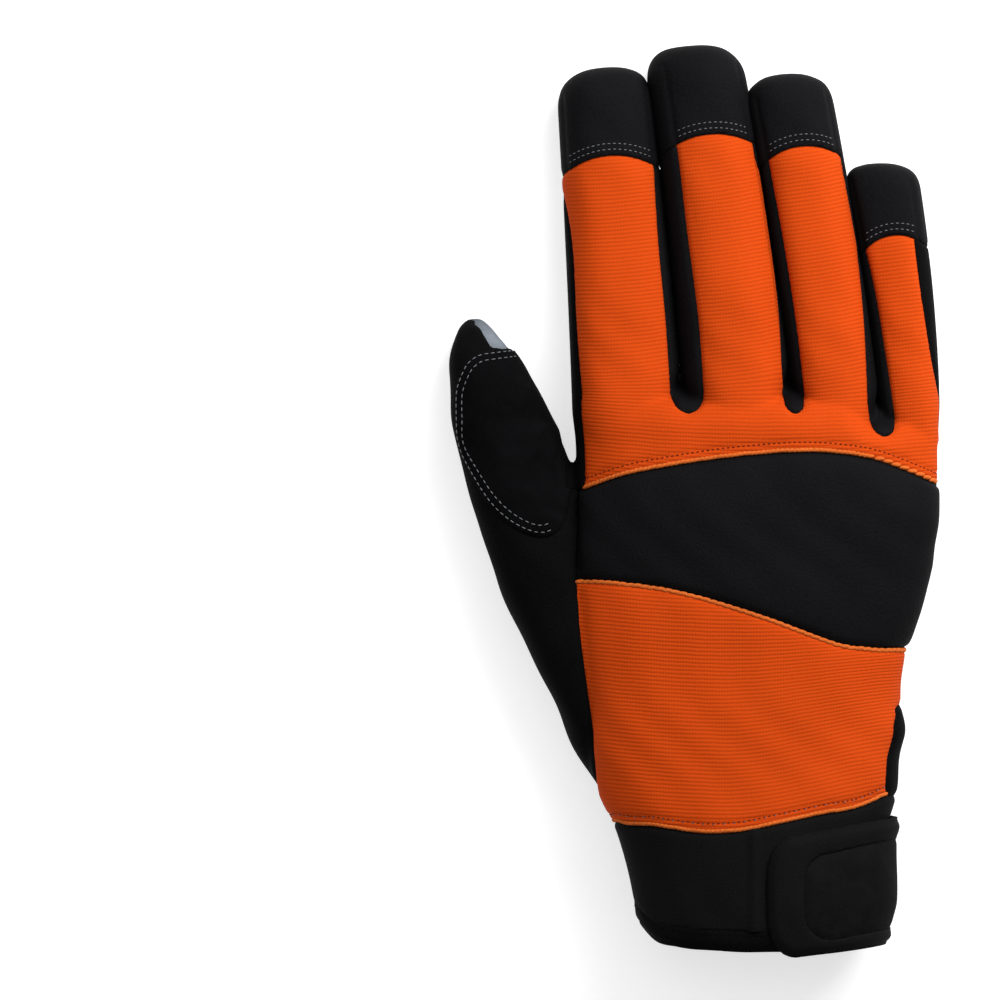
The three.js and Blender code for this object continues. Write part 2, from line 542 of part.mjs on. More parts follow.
const crescent = thumbCrescent.map(({ along, share }) => {
  const { centre: middle, width } = thumbAt(along);
  return new THREE.Vector2((middle + (share * width) / 2) * palmWidth, thumbStartY + along * thumbLength);
});
const thumbPatchZone = prism(points(thumbPatchOutline), thumbPalmEdge - 0.1, far)
  .add(prism([...crescent, new THREE.Vector2(0, crescent[crescent.length - 1].y), new THREE.Vector2(0, crescent[0].y)],
    -far, thumbPalmEdge))
  .subtract(thumbGap(0));
keep("thumb_patch", cover(seamGap, thumbPatchCover).intersect(thumbPatchZone), blackCloth);

const hemEnd = box(-far, far, 0, bindingWidth, -far, far);
keep("cuff_band", shell.intersect(cuffZone(-half)).subtract(box(-far, far, -far, bindingWidth + seamGap, -far, far)),
  neoprene);
keep("cuff_binding", handForm(bindingProud).subtract(handForm(-clothThickness)).intersect(hemEnd), blackCloth);

// The wrist strap lies over the cuff and its binding, inside a turned border.
const strapFrom = bindingProud + seamGap;
const strapZone = (grow) => prism(strapShape(grow), strapEnd, far);
keep("wrist_strap", cover(strapFrom, strapFrom + strapThickness).intersect(strapZone(-strapEdge - seamGap)), neoprene);
keep("strap_binding", cover(strapFrom, strapFrom + strapThickness + strapEdgeProud)
  .intersect(strapZone(0)).subtract(strapZone(-strapEdge)), blackCloth);

// Patches on the ground side of the palm
keep("palm_patch_upper", prism(points(upperPatch), 0, patchThickness), blackGrip);
keep("palm_patch_lower", prism(points(lowerPatch), 0, patchThickness), blackGrip);

const glove = new THREE.Group();
for (const [name, { solid, material }] of pieces) {
  const { vertProperties, triVerts } = solid.getMesh();
  const geometry = new THREE.BufferGeometry();
  geometry.setAttribute("position", new THREE.BufferAttribute(new Float32Array(vertProperties), 3));
  geometry.setIndex([...triVerts]);
  const mesh = new THREE.Mesh(geometry, material);
  mesh.name = name;
  glove.add(mesh);
}

// The origin goes under the middle of the glove's box.
const extent = new THREE.Box3().setFromObject(glove);
const centre = extent.getCenter(new THREE.Vector3());
glove.position.set(-centre.x, -centre.y, -extent.min.z);

export default glove;
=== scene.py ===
import functools
import math

import bmesh
import bpy
import numpy as np
from bpy.props import FloatProperty, FloatVectorProperty, PointerProperty
from mathutils import Matrix, Vector
from mathutils.kdtree import KDTree


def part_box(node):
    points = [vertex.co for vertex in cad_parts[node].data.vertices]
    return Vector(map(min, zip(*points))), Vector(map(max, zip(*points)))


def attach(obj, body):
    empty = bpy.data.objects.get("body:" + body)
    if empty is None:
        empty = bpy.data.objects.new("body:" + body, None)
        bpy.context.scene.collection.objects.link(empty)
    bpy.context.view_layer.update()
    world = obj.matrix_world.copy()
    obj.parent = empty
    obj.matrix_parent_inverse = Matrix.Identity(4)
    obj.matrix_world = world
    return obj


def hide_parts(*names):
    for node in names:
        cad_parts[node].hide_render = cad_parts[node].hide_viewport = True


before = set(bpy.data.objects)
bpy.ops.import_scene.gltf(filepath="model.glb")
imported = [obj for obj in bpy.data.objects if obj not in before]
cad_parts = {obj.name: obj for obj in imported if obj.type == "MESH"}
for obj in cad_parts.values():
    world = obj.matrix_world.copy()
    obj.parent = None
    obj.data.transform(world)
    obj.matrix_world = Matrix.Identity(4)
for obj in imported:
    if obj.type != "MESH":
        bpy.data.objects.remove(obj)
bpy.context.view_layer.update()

bl_info = {
    "name": "Mechanic glove",
    "version": (1, 0, 0),
    "blender": (4, 5, 0),
    "location": "View3D > Sidebar > Glove",
    "description": "A cut and sewn work glove that lies on its palm, panel by panel",
    "category": "Add Mesh",
}

# The glove is drawn in millimetres from its hem (Y) and from the middle of its pattern (X), as its solids are.
# The lower palm patch shows where that pattern lies in the frame: its corner is at (-57, 52.8) in the pattern.
MM = 0.001
PATCH_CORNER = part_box("palm_patch_lower")[0]
SHIFT = np.array([PATCH_CORNER.x / MM + 57, PATCH_CORNER.y / MM - 52.8, 0.0])

# Sizes of the hand form, the same as the solids have
PALM_WIDTH = 100
PALM_LENGTH = 112
PALM_THICKNESS = 33
CUFF_LENGTH = 36
CUFF_WIDTH = 75
CUFF_THICKNESS = 43
THUMB_LENGTH = 133
THUMB_THICKNESS = 22
FINGER_GAP = 0.2  # the fingers all but touch
APART = 1.3  # how much is left off at first where they face each other, so that they stay apart in one skin
PRESSED = 0.45  # how far the soft sides of two fingers press into each other
WEB_SLOPE = 10
CROTCH = CUFF_LENGTH + PALM_LENGTH
PALM_LEVEL = 1.85
THUMB_LEVEL = 1.35
THUMB_START = CUFF_LENGTH + 4
HEM_BINDING = 5.5
PALM_EDGE = 9
FINGER_PALM_EDGE = 5
THUMB_PALM_EDGE = 4
BACK_EDGE = 14
ROUNDNESS = 2.4
FLAT_SHARE = 0.22

# Sizes that only the sewn glove has
VOXEL = 0.75  # grain of the skin that the panels are cut from
LAP = 0.25  # how far a panel reaches over its cut edge
SHEET_STEP = 0.8  # grain of the sheet that a grip patch is cut from
EDGE_REACH = 12.0  # how far in the distance from a panel's edge is measured
GROUND = 0.02  # the lowest that cloth lies
SEEN = 16  # seams are stitched above this height on the back


def smooth_curve(knots, values):
    """A function that runs smoothly through the values and stays level past both ends."""
    t = np.asarray(knots, float)
    v = np.asarray(values, float)
    slope = np.gradient(v, t)

    def at(x):
        x = np.clip(x, t[0], t[-1])
        i = np.clip(np.searchsorted(t, x) - 1, 0, len(t) - 2)
        h = t[i + 1] - t[i]
        s = (x - t[i]) / h
        return (v[i] * (1 + 2 * s) * (1 - s) ** 2 + v[i + 1] * s * s * (3 - 2 * s)
                + h * (slope[i] * s * (1 - s) ** 2 + slope[i + 1] * s * s * (s - 1)))

    return at


def smoothstep(low, high, x):
    t = np.clip((x - low) / (high - low), 0, 1)
    return t * t * (3 - 2 * t)


def mix(a, b, t):
    return a + (b - a) * t


def either(a, b, soft):
    """The union of two fields, with its inner corners rounded."""
    reach = np.maximum(soft - np.abs(a - b), 0) / soft
    return np.maximum(a, b) + reach ** 2 * soft / 4


def both(*fields):
    """What all the fields hold."""
    return functools.reduce(np.minimum, fields)


def hill(distance, width):
    """1 on a line, and close to 0 from twice the width on."""
    return np.exp(-((distance / width) ** 2))


class Finger:
    """A finger of the pattern. u runs across it and v along it, from the level of the crotches."""

    def __init__(self, name, base, drop, length, lean, bow, widths, heights, caps, tip, free, left, right):
        self.name = name
        self.root = base * PALM_WIDTH
        self.drop = drop
        self.lean = math.radians(lean)
        self.bow = bow
        self.length = length / math.cos(self.lean)
        self.widths = [w * math.cos(self.lean) for w in widths]
        self.heights = heights
        self.cap_back, self.cap_palm = caps
        self.extra, self.tilt = tip
        self.free = free
        self.left = smooth_curve([0, 0.25, 0.5, 0.75, 0.9], left)
        self.right = smooth_curve([0, 0.25, 0.5, 0.75, 0.9], right)
        self.apart = (0 if name == "index" else APART, 0 if name == "little" else APART)

    def at(self, p):
        return self.local(p[:, 0], p[:, 1])

    def local(self, x, y):
        dx = x - self.root
        dy = y - CROTCH
        v = dx * math.sin(self.lean) + dy * math.cos(self.lean)
        return dx * math.cos(self.lean) - dy * math.sin(self.lean) - self.bend(v), v

    def bend(self, v):
        t = np.clip(v / self.length, 0, 1)
        return self.bow * 4 * t * (1 - t)

    def place(self, u, v):
        u = u + self.bend(v)
        x = self.root + v * math.sin(self.lean) + u * math.cos(self.lean)
        y = CROTCH + v * math.cos(self.lean) - u * math.sin(self.lean)
        return x, y

    def width(self, v):
        return mix(*self.widths, np.clip(v / self.length, 0, 1)) - FINGER_GAP

    def top(self, v):
        return mix(*self.heights, np.clip(v / self.length, 0, 1))

    def bottom(self, y):
        end = CROTCH + 0.29 * PALM_LENGTH
        return PALM_LEVEL * (1 - smoothstep(end, end + 16, y))


# Of each finger: base, drop of the crotch, length, lean, bow, widths and heights at the root and the tip, how
# far the cap reaches down the back and the palm, how much the tip is longer and tilted, how far down the knit
# reaches at the left and the right as shares of the height, and its edges on the back as shares of half the
# width, from the root to the cap
FINGERS = [
    Finger("index", -0.334, 0, 93.5, -4.3, 0.3, (30.6, 25.4), (25.5, 17.5), (23.5, 26), (0.7, -0.08),
           (0.3, 0.6), (0.84, 0.9, 0.91, 1.06, 1.06), (0.82, 0.86, 0.87, 0.94, 0.94)),
    Finger("middle", -0.029, 0, 100, -7.4, 1, (29.8, 26), (27.5, 18), (24.5, 31), (0.2, 0.12), (0.66, 0.45),
           (0.69, 0.65, 0.68, 0.66, 0.64), (0.86, 0.98, 1.0, 1.0, 1.0)),
    Finger("ring", 0.24, 0, 91.7, -8.9, 0.9, (23.6, 23.8), (26, 17.5), (19.5, 26), (0.5, 0.03), (0.66, 0.3),
           (0.8, 0.76, 0.76, 0.78, 0.76), (0.77, 0.94, 1.02, 1.06, 1.06)),
    Finger("little", 0.441, 7, 68, -6.8, 1.2, (17.3, 20.6), (21.5, 15.5), (20, 22), (0.2, 0.14), (0.6, 0.66),
           (0.6, 0.717, 0.8, 0.9, 0.86), (1.02, 0.77, 0.64, 0.655, 0.728)),
]
INDEX, MIDDLE, RING, LITTLE = FINGERS

# The hand between the hem and the crotches: how far along, middle, width, height and how far the side folds out
CUFF_ROWS = [(0, 0.038, 0.89, 1, 0), (0.35, 0.035, 0.917, 1, 0), (0.9, 0.007, 0.979, 0.94, 0)]
PALM_ROWS = [
    (0.07, -0.008, 0.82, 1.17, 0.008), (0.145, -0.018, 0.84, 1.13, 0.008), (0.21, -0.022, 0.85, 1.1, 0.024),
    (0.275, -0.025, 0.86, 1.08, 0.012), (0.41, -0.026, 0.905, 1.05, 0.004), (0.58, -0.006, 0.975, 1.02, 0.008),
    (0.78, 0.014, 1.0, 0.98, 0), (0.9, 0.021, 0.995, 0.92, 0), (0.985, 0.018, 1.0, 0.86, 0),
    (1.01, 0.018, 0.985, 0.8, 0), (1.03, 0.018, 0.95, 0.6, 0),
]
THUMB_ROWS = [
    (0.02, -0.36, 0.09, 0.8), (0.12, -0.405, 0.165, 1.02), (0.22, -0.44, 0.21, 1.12),
    (0.32, -0.482, 0.26, 1.14), (0.43, -0.532, 0.295, 1.12), (0.54, -0.575, 0.312, 1.08),
    (0.68, -0.63, 0.306, 1), (0.8, -0.681, 0.269, 0.92), (0.87, -0.711, 0.222, 0.85),
    (0.92, -0.731, 0.186, 0.76), (0.965, -0.748, 0.118, 0.6), (0.99, -0.754, 0.075, 0.45),
    (1.003, -0.755, 0.035, 0.3),
]

# Seams on the back: across in shares of the palm's width, along in shares of its length above the cuff seam
UPPER_SEAM = [
    (-0.461, 0.808), (-0.346, 0.843), (-0.241, 0.862), (-0.1, 0.882), (0.04, 0.895), (0.137, 0.9),
    (0.25, 0.895), (0.353, 0.879), (0.425, 0.856), (0.507, 0.826), (0.6, 0.79),
]
LOWER_SEAM = [
    (-0.477, 0.583), (-0.346, 0.576), (-0.241, 0.563), (-0.137, 0.542), (-0.031, 0.513), (0.073, 0.482),
    (0.178, 0.447), (0.248, 0.426), (0.318, 0.417), (0.416, 0.413), (0.54, 0.414),
]
CUFF_SEAM = [
    (-0.419, 0.058), (-0.406, 0.01), (-0.364, -0.007), (-0.268, -0.013), (-0.118, -0.028), (-0.03, -0.023),
    (0.077, -0.004), (0.203, 0.019), (0.278, 0.029), (0.329, 0.044), (0.364, 0.058),
]
WRIST_SIDE = [(0.375, 0.1), (0.38, 0.15), (0.395, 0.2), (0.404, 0.25), (0.425, 0.28), (0.54, 0.3)]
THUMB_SIDE = [
    (-0.419, 0.058), (-0.43, 0.143), (-0.438, 0.241), (-0.452, 0.339), (-0.466, 0.437), (-0.477, 0.583),
]
THUMB_GAP = [(-0.503, 0.81), (-0.505, 0.86), (-0.6, 1.12)]
INDEX_BAND = [(0.02, 1.25), (0.1, 0.78), (0.35, 0.6), (0.5, 0.62), (0.55, 0.78), (0.56, 1.25)]
THUMB_PATCH = [
    (-0.712, 1.145), (-0.773, 1.124), (-0.798, 1.08), (-0.806, 1.034), (-0.804, 0.955), (-0.793, 0.904),
    (-0.77, 0.853), (-0.732, 0.79), (-0.694, 0.746), (-0.645, 0.711), (-0.588, 0.69), (-0.542, 0.695),
    (-0.51, 0.726), (-0.495, 0.787), (-0.495, 0.84), (-0.52, 0.96), (-0.58, 1.13),
]
THUMB_CRESCENT = [(0.68, 1.3), (0.7, 0.8), (0.76, 0.55), (0.84, 0.42), (0.9, 0.5), (0.94, 0.8), (0.95, 1.3)]
THUMB_TIP_WRAP = [
    (-0.762, 1.3), (-0.757, 1.215), (-0.741, 1.204), (-0.73, 1.186), (-0.71, 1.155), (-0.668, 1.152),
    (-0.55, 1.12), (-0.6, 1.3),
]
UPPER_PATCH = [
    (-0.38, 0.965), (-0.37, 1.0), (-0.3, 1.02), (-0.2, 1.045), (-0.135, 1.12), (-0.115, 1.22), (-0.07, 1.262),
    (-0.005, 1.255), (0.025, 1.2), (0.03, 1.11), (0.065, 1.055), (0.115, 1.1), (0.135, 1.17), (0.18, 1.21),
    (0.235, 1.205), (0.265, 1.16), (0.275, 1.08), (0.305, 1.0), (0.375, 0.975), (0.405, 0.935), (0.4, 0.875),
    (0.36, 0.85), (0.2, 0.845), (-0.1, 0.87), (-0.33, 0.882), (-0.375, 0.905),
]
LOWER_PATCH = [
    (-0.57, 0.47), (-0.545, 0.6), (-0.44, 0.72), (-0.33, 0.795), (-0.22, 0.805), (0.1, 0.78), (0.26, 0.76),
    (0.33, 0.72), (0.335, 0.66), (0.25, 0.625), (0.04, 0.585), (-0.07, 0.55), (-0.115, 0.565), (-0.145, 0.61),
    (-0.2, 0.615), (-0.235, 0.56), (-0.245, 0.48), (-0.225, 0.43), (-0.16, 0.425), (-0.03, 0.48), (0.1, 0.535),
    (0.22, 0.555), (0.31, 0.535), (0.345, 0.45), (0.335, 0.3), (0.28, 0.205), (0.17, 0.155), (0.05, 0.15),
    (-0.25, 0.175), (-0.38, 0.215), (-0.5, 0.335),
]
# Quilted lines inside the lower patch
THUMB_LOBE = [
    (-0.28, 0.703), (-0.252, 0.678), (-0.313, 0.529), (-0.332, 0.405), (-0.304, 0.281), (-0.341, 0.262),
    (-0.384, 0.281), (-0.464, 0.43), (-0.451, 0.504), (-0.366, 0.604),
]
HEEL_LOBE = [
    (0.008, 0.45), (-0.12, 0.38), (-0.159, 0.306), (-0.137, 0.244), (0.005, 0.207), (0.154, 0.227),
    (0.251, 0.281), (0.179, 0.393), (0.092, 0.405),
]


def seam_across(rows):
    """Height of a seam over X, in the pattern."""
    return smooth_curve([a * PALM_WIDTH for a, _ in rows], [CUFF_LENGTH + b * PALM_LENGTH for _, b in rows])


def seam_along(rows):
    """X of a seam over Y, in the pattern."""
    return smooth_curve([CUFF_LENGTH + b * PALM_LENGTH for _, b in rows], [a * PALM_WIDTH for a, _ in rows])


def outline_of(rows):
    return np.array([(a * PALM_WIDTH, CUFF_LENGTH + b * PALM_LENGTH) for a, b in rows])


def rounded(corners, steps=5):
    """A closed smooth line through the corners."""
    p = np.asarray(corners, float)
    before, after, last = np.roll(p, 1, 0), np.roll(p, -1, 0), np.roll(p, -2, 0)
    out = []
    for s in np.arange(steps) / steps:
        out.append(0.5 * (2 * p + (after - before) * s + (2 * before - 5 * p + 4 * after - last) * s ** 2
                          + (3 * p - before - 3 * after + last) * s ** 3))
    return np.stack(out, 1).reshape(-1, 2)


def inside(line, x, y):
    """Distance from a closed line in the XY plane, above 0 inside it."""
    nearest = np.full(x.shape, 1e9)
    within = np.zeros(x.shape, bool)
    for (ax, ay), (bx, by) in zip(line, np.roll(line, -1, 0)):
        ex, ey = bx - ax, by - ay
        t = np.clip(((x - ax) * ex + (y - ay) * ey) / (ex * ex + ey * ey + 1e-12), 0, 1)
        nearest = np.minimum(nearest, np.hypot(x - ax - t * ex, y - ay - t * ey))
        crosses = (ay > y) != (by > y)
        within ^= crosses & (x < ax + ex * (y - ay) / (ey if abs(ey) > 1e-12 else 1e-12))
    return np.where(within, nearest, -nearest)


upper_seam = seam_across(UPPER_SEAM)
lower_seam = seam_across(LOWER_SEAM)
cuff_seam = seam_across(CUFF_SEAM)
wrist_side = seam_along(WRIST_SIDE)
thumb_side = seam_along(THUMB_SIDE)
thumb_gap = seam_along(THUMB_GAP)
THUMB_LEVELS = [THUMB_START + row[0] * THUMB_LENGTH for row in THUMB_ROWS]
thumb_middle = smooth_curve(THUMB_LEVELS, [row[1] * PALM_WIDTH for row in THUMB_ROWS])
thumb_width = smooth_curve(THUMB_LEVELS, [row[2] * PALM_WIDTH for row in THUMB_ROWS])


def little_drop(x):
    return LITTLE.drop * smoothstep(RING.root, (RING.root + LITTLE.root) / 2, x)


# Fields over the pattern: each is above 0 inside its zone, and close to the distance from its edge

def cuff_field(p):
    x, y, z = p.T
    return mix(CUFF_LENGTH, cuff_seam(x), smoothstep(6, 16, z)) - y


def caps_field(p):
    x, y, z = p.T
    out = np.full(len(p), -99.0)
    nearest = np.full(len(p), 1.3)
    for f in FINGERS:
        u, v = f.local(x, y)
        half = f.width(v) / 2
        edge = f.length - f.cap_back - 4 * np.clip(u / half, -1, 1) ** 2
        edge = edge - (f.cap_palm - f.cap_back) * (1 - smoothstep(0, 0.45, z / f.top(f.length - f.cap_back)))
        share = np.abs(u) / half
        out = np.where(share < nearest, v - edge, out)
        nearest = np.minimum(nearest, share)
    return out


def palm_field(p):
    x, y, z = p.T
    out = mix(PALM_EDGE, FINGER_PALM_EDGE, smoothstep(CROTCH - WEB_SLOPE, CROTCH + WEB_SLOPE, y)) - z
    u, v = INDEX.local(x, y)
    share = smooth_curve([a * INDEX.length for a, _ in INDEX_BAND], [b for _, b in INDEX_BAND])
    band = both(-u - share(v) * INDEX.width(v) / 2, x + 0.56 * PALM_WIDTH, v - INDEX_BAND[0][0] * INDEX.length)
    ridge = both(thumb_middle(y) - x, z - THUMB_PALM_EDGE, y - THUMB_START, -0.3 * PALM_WIDTH - x)
    out = both(out, -band, -ridge)
    out = np.maximum(out, inside(outline_of(THUMB_TIP_WRAP), x, y))
    return both(out, -cuff_field(p), -caps_field(p))


def upper_field(p):
    x, y, z = p.T
    low = mix(0.7 * PALM_THICKNESS, BACK_EDGE, smoothstep(-20, 20, x))
    knuckles = both(z - low, CROTCH - np.maximum(little_drop(x), 0.9) - y)
    strips = np.full(len(p), -99.0)
    for f in FINGERS:
        u, v = f.local(x, y)
        half = f.width(v) / 2
        t = v / f.length
        # A knit edge that shows as the finger's outline reaches further down
        free = mix(0.62, np.where(u < 0, *f.free), smoothstep(0.1, 0.3, t))
        if f is INDEX:
            free = np.where(u < 0, mix(0.5, f.free[0], smoothstep(0.55, 0.72, t)), free)
        root = 30 if f is INDEX else 14
        strip = both(u + f.left(t) * half, f.right(t) * half - u, z - free * f.top(v), v + root)
        strips = np.maximum(strips, strip)
    # The crotches are round: the widest between index and middle, the narrowest between middle and ring
    return both(either(knuckles, strips, 6 - 2.2 * smoothstep(-8, 8, x)), y - upper_seam(x), -caps_field(p))


def back_field(p):
    x, y, z = p.T
    return both(x - thumb_side(y), z - BACK_EDGE, wrist_side(y) - x)


def pad_field(p):
    x, y, _ = p.T
    return both(back_field(p), y - lower_seam(x), upper_seam(x) - y)


def lower_field(p):
    x, y, _ = p.T
    return both(back_field(p), lower_seam(x) - y, -cuff_field(p))


def rest_field(p):
    """What the other panels leave: the black sides of the hand, the fingers and the thumb."""
    return -np.maximum.reduce([cuff_field(p), caps_field(p), palm_field(p), upper_field(p), pad_field(p),
                               lower_field(p)])


def thumb_gap_field(p):
    x, y, _ = p.T
    return both(y - CUFF_LENGTH - 0.808 * PALM_LENGTH, x - thumb_gap(y))


def wrist_corner(p):
    x, y, _ = p.T
    return both(x, CROTCH - 19.4 - y)


def beside(f, p):
    u, v = f.at(p)
    return both(u, v + 0.3 * f.length)


def thumb_patch_field(p):
    x, y, z = p.T
    top = both(inside(rounded(outline_of(THUMB_PATCH)), x, y), z - 3.5)
    at = [THUMB_START + a * THUMB_LENGTH for a, _ in THUMB_CRESCENT]
    share = smooth_curve(at, [b for _, b in THUMB_CRESCENT])
    under = both(x - thumb_middle(y) - share(y) * thumb_width(y) / 2, y - at[0], at[-1] - y, 4.5 - z)
    return both(np.maximum(top, under), -thumb_gap_field(p))


# The hem rises at both sides, as the photograph shows.
hem_line = smooth_curve([-33, -30.5, -27.4, -20.5, -8.2, 5, 20, 30, 36, 40],
                        [9.8, 6.6, 3.5, 1.9, 0.9, 0.6, 0.9, 2.2, 5, 9.4])


def hem_field(p):
    x, y, _ = p.T
    return y - hem_line(x)


# The strap's outline, in shares of the cuff's width and length
STRAP_LEFT, STRAP_ROOT, STRAP_RIGHT = 0.055 * CUFF_WIDTH, 0.13 * CUFF_WIDTH, 0.74 * CUFF_WIDTH
STRAP_EDGE = 4.4


def strap_outline(grow):
    nose = 5 if grow < 0 else 0
    left = STRAP_LEFT - grow + nose
    root = STRAP_ROOT + 2 - grow + nose
    low, high = -0.02 * CUFF_LENGTH - grow, 0.88 * CUFF_LENGTH + grow
    low_right, high_right = 0.115 * CUFF_LENGTH - grow, 1.11 * CUFF_LENGTH + grow
    round_end = [(mix(left, root, 1 - math.sin(a)), mix((low + high) / 2, high, max(math.cos(a), 0) ** 0.6))
                 for a in np.linspace(0, math.pi / 2, 9)]
    lower_end = [(x, low + high - y) for x, y in reversed(round_end)]
    return np.array([(STRAP_RIGHT, low_right), (STRAP_RIGHT, high_right)] + round_end + lower_end[1:])


def strap_field(p, grow=0.0):
    x, y, z = p.T
    return both(inside(strap_outline(grow), x, y), z - 5)


# The hand form

def section(middle, width, top, bottom, fold, angle):
    """A ring of a rounded section that the ground flattens at its bottom."""
    reach = (top - bottom) / (1 - FLAT_SHARE / 2) / 2
    across = np.sign(np.cos(angle)) * np.abs(np.cos(angle)) ** (2 / ROUNDNESS)
    up = np.sign(np.sin(angle)) * np.abs(np.sin(angle)) ** (2 / ROUNDNESS)
    x = middle + width / 2 * across + np.where(across > 0, fold * across ** 6 * (1 - up ** 2), 0)
    return x, np.maximum(top - reach + reach * up, bottom), up


def tube(bm, around, along, shape):
    """A closed tube: a grid rolled up by a function of the angle and the share of the way along."""
    made = bmesh.ops.create_grid(bm, x_segments=around, y_segments=along, size=0.5)["verts"]
    grid = np.array([v.co for v in made])
    x, y, z = shape((grid[:, 0] + 0.5) * 2 * math.pi, grid[:, 1] + 0.5)
    for vert, co in zip(made, np.stack([x, y, z], 1)):
        vert.co = co
    bmesh.ops.remove_doubles(bm, verts=made, dist=1e-4)
    made = [v for v in made if v.is_valid]
    edges = {e for v in made for e in v.link_edges if e.is_boundary}
    bmesh.ops.holes_fill(bm, edges=list(edges), sides=0)


def hand_shape(angle, share):
    rows = [(start + a * length, m * width, w * width, h * thickness, d * width)
            for table, start, length, width, thickness in (
                (CUFF_ROWS, 0, CUFF_LENGTH, CUFF_WIDTH, CUFF_THICKNESS),
                (PALM_ROWS, CUFF_LENGTH, PALM_LENGTH, PALM_WIDTH, PALM_THICKNESS))
            for a, m, w, h, d in table]
    at = [r[0] for r in rows]
    y = mix(-12, at[-1], share)
    middle, width, top, fold = (smooth_curve(at, [r[i] for r in rows])(y) for i in range(1, 5))
    bottom = mix(0.5, PALM_LEVEL, smoothstep(CUFF_LENGTH - 4, CUFF_LENGTH + 6, y))
    x, z, up = section(middle, width, top, bottom, fold, angle)
    skew = WEB_SLOPE * (1 - up) / 2 - little_drop(x)
    return x, y + smoothstep(0.8, 1, (y - CUFF_LENGTH) / PALM_LENGTH) * skew, z


def finger_shape(f):
    def shape(angle, share):
        dome = 0.43 * f.widths[1] + f.extra
        straight = f.length + f.extra - dome
        v = np.where(share < 0.75, mix(-0.14 * f.length, straight, share / 0.75),
                     straight + dome * np.sin(np.clip((share - 0.75) / 0.25, 0, 1) * math.pi / 2))
        d = np.clip((v - straight) / dome, 0, 1)
        round_off = np.maximum((1 - d ** 2.8) ** (1 / 2.8), 0.03)
        top = f.top(v)
        bottom = f.bottom(CROTCH + v)
        middle = mix(bottom, top, 0.42)
        low, high = -f.width(v) / 2 + f.apart[0], f.width(v) / 2 - f.apart[1]
        low, high = np.array([low, high]) * mix(0.9, 1, smoothstep(-0.14 * f.length, 0.02 * f.length, v))
        u, z, _ = section((low + high) / 2, (high - low) * round_off, mix(middle, top, round_off),
                          mix(middle, bottom, round_off), 0, angle)
        x, y = f.place(u, v - f.tilt * u * d)
        return x, y, z
    return shape


def thumb_shape(angle, share):
    at = [r[0] for r in THUMB_ROWS]
    t = mix(at[0], at[-1], share)
    middle, width, height = (smooth_curve(at, [r[i] for r in THUMB_ROWS])(t) for i in (1, 2, 3))
    bottom = mix(PALM_LEVEL, THUMB_LEVEL, smoothstep(0.5, 0.66, t))
    x, z, _ = section(middle * PALM_WIDTH, width * PALM_WIDTH, height * THUMB_THICKNESS, bottom, 0, angle)
    return x, THUMB_START + t * THUMB_LENGTH, z


def close_gaps(p):
    """Brings the fingers back to their full width, so that they lie against each other as in a pair on a
    wearer's hands.
    """
    x, y, z = p.T
    places = np.array([x, y])
    nearest = np.full(len(p), 1e9)
    for f in FINGERS:
        u, v = f.local(x, y)
        share = np.abs(u) / f.width(v)
        web = WEB_SLOPE * (1 - z / f.top(v)) - little_drop(x)
        ramp = smoothstep(0, 9, v - web)
        apart = np.where(u < 0, *f.apart)
        wider = f.place(u * (1 + ramp * (apart + np.minimum(apart, PRESSED)) / (f.width(v) / 2 - apart)), v)
        own = (share < nearest) & (share < 0.6) & (y > CROTCH - 12)
        places = np.where(own, wider, places)
        nearest = np.where(own, share, nearest)
    return np.column_stack([places[0], places[1], z])


def wrinkles(p, n):
    """The cloth's own unevenness: long soft waves, so that no panel is as smooth as a casting."""
    x, y, z = p.T
    wave = (np.sin(0.115 * x + 0.061 * y + 0.09 * z + 1.7 * np.sin(0.047 * y + 0.4))
            + 0.7 * np.sin(0.21 * y - 0.083 * x + 1.3 * np.sin(0.072 * x + 1.1))
            + 0.45 * np.sin(0.37 * x + 0.29 * y + 0.23 * z + 2.1 * np.sin(0.113 * y)))
    between = smoothstep(CROTCH - 4, CROTCH + 6, y) * smoothstep(0.3, 0.8, np.abs(n[:, 0]))
    return 0.26 * wave * smoothstep(2, 9, z) * (1 - between)


def to_mesh(name, bm):
    """Turns a bmesh into a mesh and frees it."""
    mesh = bpy.data.meshes.new(name)
    bm.to_mesh(mesh)
    bm.free()
    return mesh


def add_object(name, data):
    obj = bpy.data.objects.new(name, data)
    bpy.context.scene.collection.objects.link(obj)
    return obj


@functools.cache
def master_cloth():
    """The whole glove as one closed skin, from which every panel is cut. In millimetres, in the pattern."""
    bm = bmesh.new()
    tube(bm, 120, 110, hand_shape)
    tube(bm, 72, 80, thumb_shape)
    for f in FINGERS:
        tube(bm, 72, 90, finger_shape(f))
    bmesh.ops.recalc_face_normals(bm, faces=bm.faces)
    mesh = to_mesh("master", bm)
    obj = add_object("master", mesh)
    remesh = obj.modifiers.new("remesh", "REMESH")
    remesh.mode = "VOXEL"
    remesh.voxel_size = VOXEL
    soften = obj.modifiers.new("soften", "SMOOTH")
    soften.factor = 0.5
    soften.iterations = 8
    skin = bpy.data.meshes.new_from_object(obj.evaluated_get(bpy.context.evaluated_depsgraph_get()))
    bpy.data.objects.remove(obj)
    bpy.data.meshes.remove(mesh)
    co, normals = arrays(skin)
    co = close_gaps(co) + normals * wrinkles(co, normals)[:, None]
    skin.vertices.foreach_set("co", co.ravel())
    skin.update()
    return skin


def arrays(mesh):
    count = len(mesh.vertices)
    co = np.empty(count * 3)
    normals = np.empty(count * 3)
    mesh.vertices.foreach_get("co", co)
    mesh.vertex_normals.foreach_get("vector", normals)
    return co.reshape(-1, 3), normals.reshape(-1, 3)


